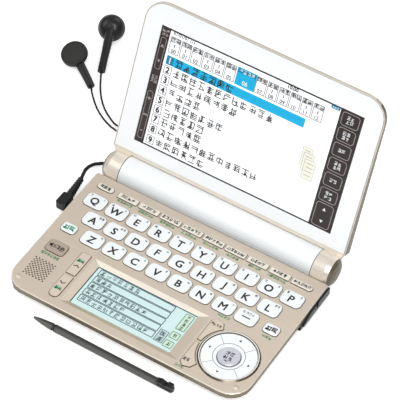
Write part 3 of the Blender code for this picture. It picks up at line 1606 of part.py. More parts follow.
def add_splitter(leg, start, end):
    """Makes the sleeve one body with a leg of the cord."""
    name = leg.name
    material = leg.data.materials[0]
    solid = bpy.data.meshes.new_from_object(leg)
    bpy.data.objects.remove(leg, do_unlink=True)
    made = bpy.data.objects.new(name, solid)
    bpy.context.scene.collection.objects.link(made)
    if not solid.materials:
        solid.materials.append(material)
    length = (end - start).length
    tip = SPLITTER_RADIUS - LEG_DIAMETER / 2
    profile = (
        (0.0, tip),
        (LEG_DIAMETER, SPLITTER_RADIUS),
        (length - LEG_DIAMETER, SPLITTER_RADIUS),
        (length, tip + LEG_DIAMETER / 4),
    )
    sleeve = turned_at(profile, SMALL_ROUND_STEPS, facing(start, end - start))
    join_with(made, "cord_splitter", [sleeve])


def make_bud(name, middle, face, leg_end, leg_before):
    """An earbud: a round head with a domed back, and a stem that the cord leaves."""
    place = facing(middle, face)
    profile = (
        (-BUD_RIM - BUD_DOME, BUD_RADIUS * 0.35),
        (-BUD_RIM - BUD_DOME * 0.75, BUD_RADIUS * 0.68),
        (-BUD_RIM - BUD_DOME * 0.3, BUD_RADIUS * 0.93),
        (-BUD_RIM, BUD_RADIUS),
        (0.0, BUD_RADIUS),
        (BUD_FACE_RISE * 0.7, BUD_RADIUS * 0.7),
        (BUD_FACE_RISE, BUD_RADIUS * 0.3),
    )
    bud = lofted(name, turned_at(profile, BUD_SIDES, place), black_plastic())
    out = (Vector(leg_before) - Vector(leg_end)).normalized()
    end = Vector(leg_end) - out * CORD_END_GAP
    root = place @ Vector((0.0, 0.0, -BUD_RIM - BUD_DOME * 0.4))
    bend = root.lerp(end, 0.5) + Vector((0.0, 0.0, (root.z - end.z) * 0.1))
    rings = [
        ring_across(root, bend - root, STEM_TOP_RADIUS, STEM_SIDES),
        ring_across(bend, end - root, (STEM_TOP_RADIUS + STEM_END_RADIUS) / 2, STEM_SIDES),
        ring_across(end, out, STEM_END_RADIUS, STEM_SIDES),
    ]
    join_with(bud, f"{name}_stem", [rings])


def build():
    remove_everything()
    make_deck()
    make_lower_shell()
    make_board()
    make_speaker()
    make_sub_screen()
    make_letter_keys()
    make_small_keys()
    make_shortcut_strip()
    make_direction_pad()
    make_barrel()
    hinge = bpy.data.objects.new("lid_hinge", None)
    bpy.context.scene.collection.objects.link(hinge)
    hinge.location = (0.0, HINGE_Y, HINGE_HEIGHT)
    hinge.rotation_euler.x = math.radians(180.0 - LID_OPENING_DEG)
    make_lid(hinge)
    make_stylus()
    make_stylus_holder()
    make_plug()
    make_cords()
    make_bud("earbud_left", LEFT_BUD_MIDDLE, LEFT_BUD_FACE, LEG_LEFT_ROUTE[-1], LEG_LEFT_ROUTE[-2])
    make_bud("earbud_right", RIGHT_BUD_MIDDLE, RIGHT_BUD_FACE, LEG_RIGHT_ROUTE[-1], LEG_RIGHT_ROUTE[-2])


build()
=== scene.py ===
"""Looks of the electronic dictionary: materials, legends, screen pictures, earphones, light and camera.

All places and sizes are in metres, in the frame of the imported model: X to the right, Y to the rear, Z up.
"""

import json
import math
import random
from itertools import pairwise

import bmesh
import bpy
from mathutils import Matrix, Vector


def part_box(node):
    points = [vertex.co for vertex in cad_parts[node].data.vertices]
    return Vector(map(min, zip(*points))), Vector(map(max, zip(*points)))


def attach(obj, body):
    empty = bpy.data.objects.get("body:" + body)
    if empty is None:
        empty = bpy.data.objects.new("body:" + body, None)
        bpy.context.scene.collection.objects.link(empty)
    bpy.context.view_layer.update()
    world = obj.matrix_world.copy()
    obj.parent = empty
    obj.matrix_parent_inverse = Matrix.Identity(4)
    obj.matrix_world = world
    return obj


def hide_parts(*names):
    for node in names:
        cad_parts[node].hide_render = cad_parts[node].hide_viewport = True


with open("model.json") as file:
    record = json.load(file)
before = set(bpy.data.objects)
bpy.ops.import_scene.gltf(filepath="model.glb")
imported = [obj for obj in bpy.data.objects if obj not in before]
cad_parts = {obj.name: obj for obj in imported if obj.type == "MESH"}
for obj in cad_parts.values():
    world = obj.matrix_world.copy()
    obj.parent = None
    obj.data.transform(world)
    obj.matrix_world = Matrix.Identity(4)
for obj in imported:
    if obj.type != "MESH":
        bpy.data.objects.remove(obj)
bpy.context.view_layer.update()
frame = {"nodes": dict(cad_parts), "record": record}

# Camera
CAMERA_PLACE = (0.427245, -0.691774, 1.011320)
CAMERA_AZIMUTH_DEG = 30.533
CAMERA_ELEVATION_DEG = 48.958
CAMERA_ROLL_DEG = 1.986
CAMERA_LENS = 220.5
SENSOR_WIDTH = 36.0

# The lid as it stands, the step that keeps a print off its face, and the parts of a rounded corner
LID_OPENING_DEG = 112.95
PRINT_LIFT = 0.00003
CORNER_STEPS = 4

# Earphone cords, as in the model; a route's points without a height lie on the table
LEAD_DIAMETER = 0.0020
LEG_DIAMETER = 0.0011
LEAD_HEIGHT = 0.00115
LEG_HEIGHT = 0.0007
COIL_CENTRE = (-0.0330, 0.0879)
COIL_OUTER_RADIUS = 0.0180
COIL_TURNS_PER_LAYER = 5
COIL_PITCH = 0.00250
COIL_START_DEG = 200.0
COIL_STEPS = 24
CORD_GAP = 0.0003
TABLE_ROOM = 0.00015
SPLITTER_LENGTH = 0.0090
SPLITTER_RADIUS = 0.0018
SPLITTER_DROP = 0.0016
SPLITTER_PROFILE = (
    (-CORD_GAP, LEAD_DIAMETER * 0.55, 0), (0.0006, LEAD_DIAMETER * 0.62, 0),
    (0.0016, SPLITTER_RADIUS * 0.92, 0), (0.0028, SPLITTER_RADIUS, 0), (0.0070, SPLITTER_RADIUS * 0.98, 0),
    (0.0084, SPLITTER_RADIUS * 0.9, 0), (0.0091, SPLITTER_RADIUS * 0.72, 0),
)
LEG_SPREAD = 0.00075
PLUG_Z = 0.0043
PLUG_X = -0.0792
RELIEF_START_Y = 0.02535
RELIEF_LENGTH = 0.0150
RELIEF_TURN_DEG = 6.0
LEAD_ROUTE = (
    (-0.0826, 0.0466, 0.0039), (-0.0832, 0.0505, 0.0030), (-0.0827, 0.0545, 0.0019),
    (-0.0808, 0.0576, 0.00125), (-0.0770, 0.0601), (-0.0715, 0.0627), (-0.0655, 0.0662),
    (-0.0600, 0.0710),
)
LEG_RIGHT_ROUTE = (
    (-0.0070, 0.0784, 0.0012), (0.0010, 0.0756), (0.0100, 0.0762), (0.0185, 0.0806), (0.0245, 0.0882),
    (0.0272, 0.0976), (0.0262, 0.1076), (0.0212, 0.1166), (0.0120, 0.1236), (0.0000, 0.1269),
    (-0.0130, 0.1269), (-0.0265, 0.1249), (-0.0395, 0.1204), (-0.0515, 0.1119), (-0.0620, 0.1012),
    (-0.0710, 0.0929), (-0.0795, 0.0882), (-0.0882, 0.0874), (-0.0945, 0.0901), (-0.1009, 0.0943),
    (-0.1066, 0.0997, 0.0008), (-0.1120, 0.1066, 0.0014), (-0.1176, 0.1160, 0.0027),
)
LEG_LEFT_ROUTE = (
    (-0.0088, 0.0766, 0.0012), (0.0005, 0.0724), (0.0118, 0.0729), (0.0222, 0.0782), (0.0294, 0.0869),
    (0.0322, 0.0982), (0.0305, 0.1102), (0.0243, 0.1206), (0.0138, 0.1282), (0.0005, 0.1316),
    (-0.0140, 0.1314), (-0.0290, 0.1289), (-0.0375, 0.1239, 0.0016), (-0.0450, 0.1169, 0.0028),
    (-0.0520, 0.1079, 0.0016), (-0.0600, 0.0979), (-0.0690, 0.0899), (-0.0780, 0.0854),
    (-0.0869, 0.0841), (-0.0960, 0.0870), (-0.1048, 0.0923, 0.0008), (-0.1129, 0.0996, 0.0014),
    (-0.1160, 0.1033, 0.0026),
)

# Earbuds: middles, directions of their faces, and profiles as (height, radius or its share, material number)
LEFT_BUD_MIDDLE = (-0.1362, 0.1157, 0.0079)
LEFT_BUD_FACE = (-0.06, -0.36, 0.93)
RIGHT_BUD_MIDDLE = (-0.1304, 0.1465, 0.0054)
RIGHT_BUD_FACE = (-0.30, 0.60, -0.74)
BUD_RADIUS = 0.0078
BUD_PROFILE = (
    (-0.0072, 0.30, 0), (-0.0066, 0.60, 0), (-0.0052, 0.82, 0),
    (-0.0036, 0.93, 0), (-0.0026, 0.955, 0), (-0.0025, 1.0, 0),
    (-0.0003, 1.0, 0), (0.0002, 0.97, 0), (0.0002, 0.89, 0),
    (-0.0001, 0.87, 1), (0.0003, 0.84, 1), (0.0008, 0.30, 1),
)
STEM_RADII = (1.0, 1.0, 0.98, 0.94, 0.90, 0.87, 0.84, 0.82)
STEM_RADIUS = 0.0028
STEM_ROOT = -0.0044
STEM_SAG = 0.0004
STEM_STEP = 0.0035
STEM_GAP = 0.0002
BUD_BACK = -0.0072
VENT_PROFILE = ((-0.0003, 0.0020, 0), (0.0002, 0.0018, 0), (0.0003, 0.0012, 1))

# Keys, their legends and the labels on the deck
LETTER_KEYS = sorted(name for name in frame["nodes"] if name.startswith("key_"))
LETTER_SIZE = 0.0064
LETTER_BOLD = 0.00014
HINT_SIZE = 0.0016
HINT_EDGE = 0.0019
SHORTCUT_COUNT = 9
SHORTCUT_INSET = 0.0003
SHORTCUT_GAP = 0.0013
SHORTCUT_SIGN = 0.0021
LABEL_SIGN = 0.0019
DECK_FACE = 0.0036
GRILLE_CORNER = (0.0062, 0.0104)
GRILLE_SIDE = 0.0122
GRILLE_HOLES = 7
GRILLE_RING = (0.00048, 0.00029)
SPEAKER_MARK = (
    (-0.0010, -0.0007), (-0.0002, -0.0007), (0.0009, -0.0017),
    (0.0009, 0.0017), (-0.0002, 0.0007), (-0.0010, 0.0007),
)
PAGE_ARROW = 0.0016

# The direction pad: its slope, the marks on it, and its rim as (height, radius, material number)
PAD_SLOPE = 0.0005
PAD_LINE_DEG = 49.0
PAD_LINE_START = 0.0086
PAD_LINE_ROOM = 0.0088
PAD_LINE = 0.00022
PAD_RING = 0.0083
PAD_ARROW = (0.0111, 0.0124, 0.0009)
PAD_RIM_PROFILE = (
    (-0.00055, 0.01525, 1), (0.00010, 0.01526, 0), (0.00022, 0.01545, 0), (0.00023, 0.01575, 0),
    (-0.00058, 0.01662, 1),
)

# The main screen: its panel and picture, in the lid's own frame, and its ink numbers
SCREEN_LEFT = -0.0617
SCREEN_RIGHT = 0.0617
SCREEN_LOW = 0.0188
SCREEN_HIGH = 0.0896
SCREEN_BACK = -0.00318
SCREEN_FACE = -0.00238
SCREEN_BEVEL = 0.0001
LEFT_STRIP_END = -0.0560
RIGHT_STRIP_START = 0.0480
STRIP_SIGN = 0.0021
BUTTON_X = 0.05465
BUTTON_PLACES = (0.0843, 0.0753, 0.0663, 0.0573, 0.0482, 0.0391)
BUTTON_WIDTH = 0.0104
BUTTON_LINE = 0.00028
STATUS_V = 0.0876
TAB_LEFT = -0.0550
TAB_PITCH = 0.00692
TAB_LOW = 0.0760
TAB_HIGH = 0.0857
TAB_END = 0.0405
WIDE_TAB = 1.72
LIST_X = -0.0524
LIST_SIGN = 0.0048
LIST_PITCH = 0.00527
LIST_ROWS = (
    (0.0719, 7), (0.0661, 12), (0.0601, 8), (0.0540, 4), (0.0478, 7),
    (0.0419, 5), (0.0361, 5), (0.0299, 12), (0.0233, 6),
)
CARD_PLACE = (0.0392, 0.0500)
CARDS = (
    (-0.0024, 0.0046, 0.0060, 0.0110), (-0.0008, 0.0014, 0.0064, 0.0112), (0.0008, -0.0022, 0.0068, 0.0116),
)
FRAME_LINE = 0.00042
BLACK, GREY, STRIP, STRIP_EDGE, BLUE, DEEP, PAPER, PASTEL, TAB_EDGE = range(9)

# The lower screen
SUB_LAP = 0.0029
SUB_RISE = 0.00055
SUB_BEVEL = 0.00008
SUB_SIGNS = (7, 3, 10, 7, 12)
SUB_SIGN = 0.0030
SUB_SIGN_PITCH = 0.00355

# The floor, and the lamps with their place, side and power
FLOOR_HEIGHT = -0.00005
LAMPS = (
    ("key_light", (0.55, -0.75, 1.2), 0.9, 15.0),
    ("fill_light", (-0.9, -0.4, 1.0), 0.9, 4.0),
    ("rear_light", (0.1, 1.1, 0.8), 0.8, 3.0),
)
LAMP_AIM = (0.0, 0.03, 0.02)

# Paints, as linear colours
CHAMPAGNE = (0.69, 0.59, 0.48)
# Painted light on the deck: the next colour is a painted highlight on its chamfers and sloping walls, the one
# after it painted shade on its upright sides
CHAMPAGNE_HIGHLIGHT = (0.88, 0.80, 0.69)
CHAMPAGNE_SIDE_SHADE = (0.22, 0.18, 0.12)
CASE_GOLD = (0.12, 0.10, 0.075)
LID_GOLD = (0.86, 0.79, 0.68)
# Painted shade on the lid's faces that look sideways
LID_SIDE_SHADE = (0.15, 0.125, 0.085)
KEY_CREAM = (0.82, 0.77, 0.67)
VOICE_BROWN = (0.42, 0.35, 0.28)
KEY_WHITE = (0.88, 0.905, 0.91)
# Painted shade on the sides of the keys, which stand in the gap round each key
KEY_SIDE_SHADE = (0.10, 0.075, 0.05)
GLOSS_WHITE = (0.92, 0.935, 0.945)
GRAPHITE = (0.115, 0.113, 0.105)
LCD_PALE = (0.61, 0.79, 0.77)
SCREEN_WHITE = (0.93, 0.94, 0.95)

# Tints along an axis, as (place, factors of the colour)
PLAIN = (1.0, 1.0, 1.0)
DARK = (0.08, 0.08, 0.08)
# Painted shade on the deck's walls that face the rear
REAR_WALL_SHADE = ((0.54, PLAIN), (0.64, (0.66, 0.62, 0.56)))
STYLUS_RINGS = ((0.143, PLAIN), (0.146, DARK), (0.158, DARK), (0.161, PLAIN), (0.885, PLAIN), (0.90, DARK))
# Painted light on the stylus, by the direction of its surface: painted shade underneath and along its very
# top, and a painted highlight on the band between
STYLUS_PAINTED_LIGHT = (
    (0.40, (0.35, 0.35, 0.35)), (0.62, (0.75, 0.75, 0.74)),
    (0.84, (1.15, 1.14, 1.10)), (0.99, (0.40, 0.40, 0.40)),
)
# Painted shade on the hinge barrel: its white greyed where its surface turns level and down
BARREL_SHADE_BAND = (
    (0.50, (0.78, 0.77, 0.75)), (0.61, (0.62, 0.64, 0.645)), (0.74, (0.82, 0.84, 0.845)), (0.88, PLAIN),
)
BOTH_WAYS = (-1.0, 1.0)

# Inks: name, linear colour and roughness
KEY_INKS = (
    ("ink_black", (0.008, 0.008, 0.010), 0.4),
    ("ink_green", (0.09, 0.31, 0.13), 0.5),
    ("ink_grey", (0.05, 0.08, 0.10), 0.5),
    # The brown is painted shade round the deck's grille holes
    ("grille_hole_shade", (0.045, 0.030, 0.020), 0.5),
    ("ink_jade", (0.02, 0.36, 0.20), 0.5),
)
SCREEN_INKS = (
    ("tab_grey", (0.74, 0.75, 0.76), 0.3),
    ("strip_dark", (0.030, 0.020, 0.020), 0.2),
    ("strip_line", (0.42, 0.38, 0.37), 0.3),
    ("screen_cyan", (0.0, 0.44, 0.76), 0.2),
    ("screen_blue", (0.0, 0.22, 0.38), 0.2),
    ("screen_paper", (0.85, 0.86, 0.87), 0.3),
    ("screen_pastel", (0.90, 0.89, 0.76), 0.3),
    ("tab_line", (0.27, 0.26, 0.28), 0.3),
)
LCD_INKS = (
    ("lcd_ink", (0.03, 0.07, 0.08), 0.3),
    ("lcd_green", (0.62, 0.78, 0.62), 0.3),
    ("lcd_hatch", (0.50, 0.62, 0.64), 0.3),
    ("lcd_leaf", (0.10, 0.26, 0.14), 0.3),
)
POLISHED = {"grain": 1500.0, "strength": 0.01, "coat": 0.6, "vary": 0.01}


def placed(name, data, materials=()):
    """A new object in the scene, with its materials."""
    for each in materials:
        data.materials.append(each)
    made = bpy.data.objects.new(name, data)
    bpy.context.scene.collection.objects.link(made)
    return made


def mesh_data(name, mesh):
    """A mesh of what was built, which is then freed."""
    data = bpy.data.meshes.new(name)
    mesh.to_mesh(data)
    mesh.free()
    return data


def place_camera():
    data = bpy.data.cameras.new("camera")
    data.lens = CAMERA_LENS
    data.sensor_width = SENSOR_WIDTH
    data.clip_end = 10.0
    camera = placed("camera", data)
    turn = Matrix.Rotation(math.radians(CAMERA_AZIMUTH_DEG), 4, "Z")
    tilt = Matrix.Rotation(math.radians(90.0 - CAMERA_ELEVATION_DEG), 4, "X")
    roll = Matrix.Rotation(math.radians(CAMERA_ROLL_DEG), 4, "Z")
    camera.matrix_world = Matrix.Translation(CAMERA_PLACE) @ turn @ tilt @ roll
    bpy.context.scene.camera = camera


# Materials


def set_values(node, values):
    for entry, value in values.items():
        node.inputs[entry].default_value = value


def material_of(name, colour, roughness, metallic=0.0, coat=0.0, specular=0.5):
    """A material, its node tree and its shader, with the plain values set on the shader's own sockets."""
    material = bpy.data.materials.new(name)
    material.use_nodes = True
    material.diffuse_color = (*colour, 1.0)
    tree = material.node_tree
    shader = tree.nodes["Principled BSDF"]
    set_values(shader, {"Base Color": (*colour, 1.0), "Roughness": roughness, "Metallic": metallic})
    set_values(shader, {"Coat Weight": coat, "Specular IOR Level": specular})
    return material, tree, shader


def node_of(tree, kind, values=None, **settings):
    """A new shader node, with its own settings and the values of some inputs."""
    made = tree.nodes.new(f"ShaderNode{kind}")
    for setting, value in settings.items():
        setattr(made, setting, value)
    set_values(made, values or {})
    return made


def join(tree, source, output, target, entry):
    """Link an output of one node to an input of another."""
    tree.links.new(source.outputs[output], target.inputs[entry])


def ramp_of(tree, stops):
    """A colour ramp through (position, colour) stops."""
    ramp = node_of(tree, "ValToRGB")
    elements = ramp.color_ramp.elements
    for element, (at, colour) in zip(elements, (stops[0], stops[-1]), strict=True):
        element.position = at
        element.color = (*colour, 1.0)
    for at, colour in stops[1:-1]:
        elements.new(at).color = (*colour, 1.0)
    return ramp


def noise_of(tree, scale, detail):
    """A noise whose frequency is given for each axis."""
    place = node_of(tree, "TexCoord")
    mapping = node_of(tree, "Mapping", {"Scale": scale})
    noise = node_of(tree, "TexNoise", {"Scale": 1.0, "Detail": detail})
    join(tree, place, "Object", mapping, "Vector")
    join(tree, mapping, "Vector", noise, "Vector")
    return noise


def vary_colour(tree, shader, noise, colour, low, high):
    """Paint a shader between two shades of a colour by a noise, and give the paint's socket."""
    ramp = ramp_of(tree, ((0.3, shade(colour, low)), (0.7, shade(colour, high))))
    join(tree, noise, "Fac", ramp, "Fac")
    join(tree, ramp, "Color", shader, "Base Color")
    return ramp.outputs["Color"]


def shade(colour, factor):
    return tuple(min(1.0, part * factor) for part in colour)


def ratio(colour, base):
    return tuple(part / whole for part, whole in zip(colour, base, strict=True))


def tint(tree, shader, paint, axis, stops, span=None, of="Normal"):
    """Multiply a paint by stops along an axis, of the surface's own direction or of its place, in a span.

    Without a span, both ways along the axis count as one.
    """
    place = node_of(tree, "TexCoord")
    split = node_of(tree, "SeparateXYZ")
    join(tree, place, of, split, "Vector")
    reach, output = split, axis
    if span is None:
        reach, output = node_of(tree, "Math", operation="ABSOLUTE"), "Value"
        join(tree, split, axis, reach, 0)
    low, high = span or (0.0, 1.0)
    spread = node_of(tree, "MapRange", {"From Min": low, "From Max": high})
    tints = ramp_of(tree, stops)
    mix = node_of(tree, "Mix", {"Factor": 1.0}, data_type="RGBA", blend_type="MULTIPLY")
    join(tree, reach, output, spread, "Value")
    join(tree, spread, "Result", tints, "Fac")
    tree.links.new(paint, mix.inputs["A"])
    join(tree, tints, "Color", mix, "B")
    join(tree, mix, "Result", shader, "Base Color")
    return mix.outputs["Result"]


def surface(name, colour, roughness, scale, vary, rough, bump, tints=(), detail=3.0, **plain):
    """A material whose colour, roughness and height vary by one noise, with tints over its paint."""
    material, tree, shader = material_of(name, colour, roughness, **plain)
    noise = noise_of(tree, scale, detail)
    paint = vary_colour(tree, shader, noise, colour, 1.0 - vary, 1.0 + vary)
    for each in tints:
        paint = tint(tree, shader, paint, *each)
    spread = node_of(tree, "MapRange", {"To Min": rough[0], "To Max": rough[1]})
    join(tree, noise, "Fac", spread, "Value")
    join(tree, spread, "Result", shader, "Roughness")
    relief = node_of(tree, "Bump", {"Strength": bump[0], "Distance": bump[1]})
    join(tree, noise, "Fac", relief, "Height")
    join(tree, relief, "Normal", shader, "Normal")
    return material


def brushed(name, colour, roughness, metallic, tints=()):
    """Lacquered metal-look plastic, with fine streaks along X."""
    scale = (60.0, 5000.0, 5000.0)
    rough = (roughness - 0.06, roughness + 0.08)
    plain = {"metallic": metallic, "coat": 0.15}
    return surface(name, colour, roughness, scale, 0.08, rough, (0.08, 0.00004), tints, 4.0, **plain)


def moulded(name, colour, roughness, grain=9000.0, strength=0.05, vary=0.06, tints=(), **plain):
    """Moulded plastic with a fine even grain."""
    rough = (roughness * 0.85, roughness * 1.15)
    return surface(name, colour, roughness, (grain,) * 3, vary, rough, (strength, 0.00003), tints, **plain)


def key_material(name, colour, roughness=0.34):
    """A key with its own colour on top, and its sides painted dark as the shade of the gap round the key."""
    tints = [("Z", ((0.25, ratio(KEY_SIDE_SHADE, colour)), (0.60, PLAIN)))]
    rough = (roughness - 0.04, roughness + 0.04)
    return surface(name, colour, roughness, (2500.0,) * 3, 0.015, rough, (0.03, 0.00003), tints, coat=0.1)


def ink(name, colour, roughness):
    material, tree, shader = material_of(name, colour, roughness)
    vary_colour(tree, shader, noise_of(tree, (6000.0,) * 3, 2.0), colour, 0.94, 1.06)
    return material


def glowing(name, colour, strength):
    """A lit screen's white: a little light of its own under a glossy face."""
    material, tree, shader = material_of(name, colour, 0.12, coat=0.3)
    set_values(shader, {"Emission Color": (*colour, 1.0), "Emission Strength": strength})
    vary_colour(tree, shader, noise_of(tree, (4000.0,) * 3, 1.0), colour, 0.985, 1.0)
    return material


def dress(names, material):
    for name in names:
        slots = frame["nodes"][name].data.materials
        slots.clear()
        slots.append(material)


# Prints: flat inked shapes on one plane


class Print:
    """Inked shapes in the X and Y of a plane: polygons, boxes, rings, words and made-up signs."""

    words_kept = {}

    def __init__(self, name, plane, inks, rise=None):
        self.name = name
        self.plane = plane
        self.inks = inks
        self.rise = rise
        self.mesh = bmesh.new()

    def shape(self, points, slot, lift=0):
        height = PRINT_LIFT * (1 + lift)
        made = []
        for x, y in points:
            z = height + (self.rise(x, y) if self.rise else 0.0)
            made.append(self.mesh.verts.new(self.plane @ Vector((x, y, z))))
        face = self.mesh.faces.new(made)
        face.material_index = slot

    def box(self, x, y, width, height, slot, lift=0):
        half_x = width / 2
        half_y = height / 2
        corners = ((-half_x, -half_y), (half_x, -half_y), (half_x, half_y), (-half_x, half_y))
        self.shape([(x + dx, y + dy) for dx, dy in corners], slot, lift)

    def line(self, start, end, width, slot, lift=0):
        way = Vector((end[0] - start[0], end[1] - start[1]))
        side = Vector((-way.y, way.x)).normalized() * (width / 2)
        starts = [(start[0] + side.x, start[1] + side.y), (start[0] - side.x, start[1] - side.y)]
        ends = [(end[0] + side.x, end[1] + side.y), (end[0] - side.x, end[1] - side.y)]
        self.shape([starts[0], *ends, starts[1]], slot, lift)

    def rounded(self, x, y, width, height, radius, slot, lift=0):
        self.shape(rounded_points(x, y, width, height, radius), slot, lift)

    def ring(self, outer, inner, slot, lift=0):
        """The band between two outlines of equally many points."""
        count = len(outer)
        for k in range(count):
            after = (k + 1) % count
            self.shape((outer[k], outer[after], inner[after], inner[k]), slot, lift)

    def border(self, x, y, width, height, radius, line, slot, lift=0):
        outer = rounded_points(x, y, width, height, radius)
        inner = rounded_points(x, y, width - 2 * line, height - 2 * line, max(radius - line, line / 4))
        self.ring(outer, inner, slot, lift)

    def words(self, text, x, y, size, slot, bold=0.0, lift=0):
        """Words about a middle point; bold ones are laid down four times, that far to each side."""
        points, faces = words_mesh(text)
        shifts = ((-bold, -bold), (bold, -bold), (bold, bold), (-bold, bold)) if bold else ((0.0, 0.0),)
        for layer, (dx, dy) in enumerate(shifts):
            height = PRINT_LIFT * (1 + lift + 0.15 * layer)
            made = []
            for px, py in points:
                place = Vector((x + dx + px * size, y + dy + py * size, height))
                made.append(self.mesh.verts.new(self.plane @ place))
            for corners in faces:
                face = self.mesh.faces.new([made[k] for k in corners])
                face.material_index = slot

    def sign(self, x, y, size, seed, slot, lift=0, share=0.11):
        """One made-up sign of a few upright and level strokes, about a middle point."""
        pick = random.Random(seed)
        stroke = size * share
        half = size * 0.44
        levels = sorted(pick.sample((-0.95, -0.5, 0.0, 0.5, 0.95), pick.choice((2, 3, 3, 4))))
        for level in levels:
            reach = half * pick.choice((0.7, 0.85, 1.0))
            v = y + level * half
            self.line((x - reach, v), (x + reach, v), stroke, slot, lift)
        for place in pick.sample((-0.8, -0.3, 0.0, 0.35, 0.8), pick.choice((1, 2, 2, 3))):
            low = pick.choice((-1.0, -0.9, -0.4))
            high = pick.choice((1.0, 0.9, 0.5))
            u = x + place * half
            self.line((u, y + low * half), (u, y + high * half), stroke, slot, lift)
        if pick.random() < 0.45:
            side = pick.choice((-1, 1))
            self.line((x, y), (x + side * half, y - half), stroke, slot, lift)

    def signs(self, x, y, size, count, pitch, seed, slot, lift=0, share=0.11):
        for number in range(count):
            self.sign(x + number * pitch, y, size, seed + number, slot, lift, share)

    def row(self, x, y, size, count, seed, slot, share):
        """Signs close together about a middle point."""
        self.signs(x - size * (count - 1) / 2, y, size, count, size, seed, slot, 0, share)

    def done(self, body):
        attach(placed(self.name, mesh_data(self.name, self.mesh), self.inks), body)


def rounded_points(x, y, width, height, radius):
    points = []
    for corner, (sign_x, sign_y) in enumerate(((1, 1), (-1, 1), (-1, -1), (1, -1))):
        middle_x = x + sign_x * (width / 2 - radius)
        middle_y = y + sign_y * (height / 2 - radius)
        for step in range(CORNER_STEPS + 1):
            angle = math.radians(90.0 * (corner + step / CORNER_STEPS))
            points.append((middle_x + radius * math.cos(angle), middle_y + radius * math.sin(angle)))
    return points


def circle_points(x, y, radius, steps=48, start=0.0, end=360.0):
    """Points on a circle, or on the part of it between two angles in degrees."""
    count = steps if end - start >= 360.0 else steps + 1
    angles = [math.radians(start + (end - start) * k / steps) for k in range(count)]
    return [(x + radius * math.cos(angle), y + radius * math.sin(angle)) for angle in angles]


def words_mesh(text):
    """Flat points and faces of words at size 1, about their middle; each text is made once."""
    kept = Print.words_kept
    if text not in kept:
        curve = bpy.data.curves.new("words", "FONT")
        curve.body = text
        curve.size = 1.0
        curve.resolution_u = 3
        made = placed("words", curve)
        flat = bpy.data.meshes.new_from_object(made)
        xs = [v.co.x for v in flat.vertices]
        ys = [v.co.y for v in flat.vertices]
        middle_x = (min(xs) + max(xs)) / 2
        middle_y = (min(ys) + max(ys)) / 2
        points = [(v.co.x - middle_x, v.co.y - middle_y) for v in flat.vertices]
        faces = [tuple(p.vertices) for p in flat.polygons]
        kept[text] = (points, faces)
        bpy.data.objects.remove(made, do_unlink=True)
        bpy.data.curves.remove(curve)
        bpy.data.meshes.remove(flat)
    return kept[text]


def heading(degrees):
    """The level direction at an angle."""
    angle = math.radians(degrees)
    return Vector((math.cos(angle), math.sin(angle)))


def top_plane(node):
    """The plane on a node's top, with its origin over the node's middle, and the node's width and depth."""
    low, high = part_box(node)
    middle = (low + high) / 2
    size = high - low
    return Matrix.Translation((middle.x, middle.y, high.z)), size.x, size.y


# Pieces of the earphones


def smooth_through(points, step=0.004):
    """Evenly spaced points on one smooth curve through a route's own points."""
    knots = [Vector(point) for point in points]
    knots = [2 * knots[0] - knots[1], *knots, 2 * knots[-1] - knots[-2]]
    fine = [knots[1]]
    for before, start, end, after in zip(knots, knots[1:], knots[2:], knots[3:], strict=False):
        second = 2 * before - 5 * start + 4 * end - after
        third = 3 * start - before - 3 * end + after
        for number in range(1, 33):
            t = number / 32
            fine.append(0.5 * (2 * start + (end - before) * t + second * t * t + third * t * t * t))
    lengths = [(b - a).length for a, b in pairwise(fine)]
    total = sum(lengths)
    count = max(2, round(total / step))
    spaced = [fine[0]]
    walked = 0.0
    index = 0
    for number in range(1, count):
        target = total * number / count
        while walked + lengths[index] < target:
            walked += lengths[index]
            index += 1
        spaced.append(fine[index].lerp(fine[index + 1], (target - walked) / lengths[index]))
    spaced.append(fine[-1])
    return spaced, total


def with_height(route, height):
    """A route's points, of which those without a height get the one given."""
    return [point if len(point) == 3 else (*point, height) for point in route]


def coil_points(steps):
    """The lead's coil: in on the table, up a layer in half a turn and out again on top."""
    low = LEAD_DIAMETER / 2 + TABLE_ROOM
    inward = COIL_TURNS_PER_LAYER * steps
    half_turn = steps // 2
    points = []
    for number in range(2 * inward + half_turn + 1):
        if number <= inward:
            turns = number / steps
            rise = 0.0
        elif number <= inward + half_turn:
            into = number - inward
            turns = COIL_TURNS_PER_LAYER + min(into, half_turn - into) / steps
            share = into / half_turn
            rise = share * share * (3 - 2 * share)
        else:
            turns = COIL_TURNS_PER_LAYER - (number - inward - half_turn) / steps
            rise = 1.0
        radius = COIL_OUTER_RADIUS - COIL_PITCH * turns
        angle = math.radians(COIL_START_DEG) - 2 * math.pi * number / steps
        x = COIL_CENTRE[0] + radius * math.cos(angle)
        y = COIL_CENTRE[1] + radius * math.sin(angle)
        points.append(Vector((x, y, low + COIL_PITCH * rise)))
    points.insert(0, points[0] + (points[0] - points[1]).normalized() * LEAD_DIAMETER)
    points.append(points[-1] + (points[-1] - points[-2]).normalized() * LEAD_DIAMETER)
    return points


def tube(name, points, diameter, material, radii=()):
    """A round curve through points. Radii are shares of half its diameter, the last one kept to the end."""
    curve = bpy.data.curves.new(name, "CURVE")
    curve.dimensions = "3D"
    curve.bevel_depth = diameter / 2
    curve.bevel_resolution = 3
    curve.use_fill_caps = True
    spline = curve.splines.new("POLY")
    spline.points.add(len(points) - 1)
    for number, (place, point) in enumerate(zip(spline.points, points, strict=True)):
        place.co = (*point, 1.0)
        if radii:
            place.radius = radii[min(number, len(radii) - 1)]
    spline.use_smooth = True
    return placed(name, curve, [material])


def facing(middle, direction):
    turn = Vector(direction).normalized().to_track_quat("Z", "Y").to_matrix().to_4x4()
    return Matrix.Translation(Vector(middle)) @ turn


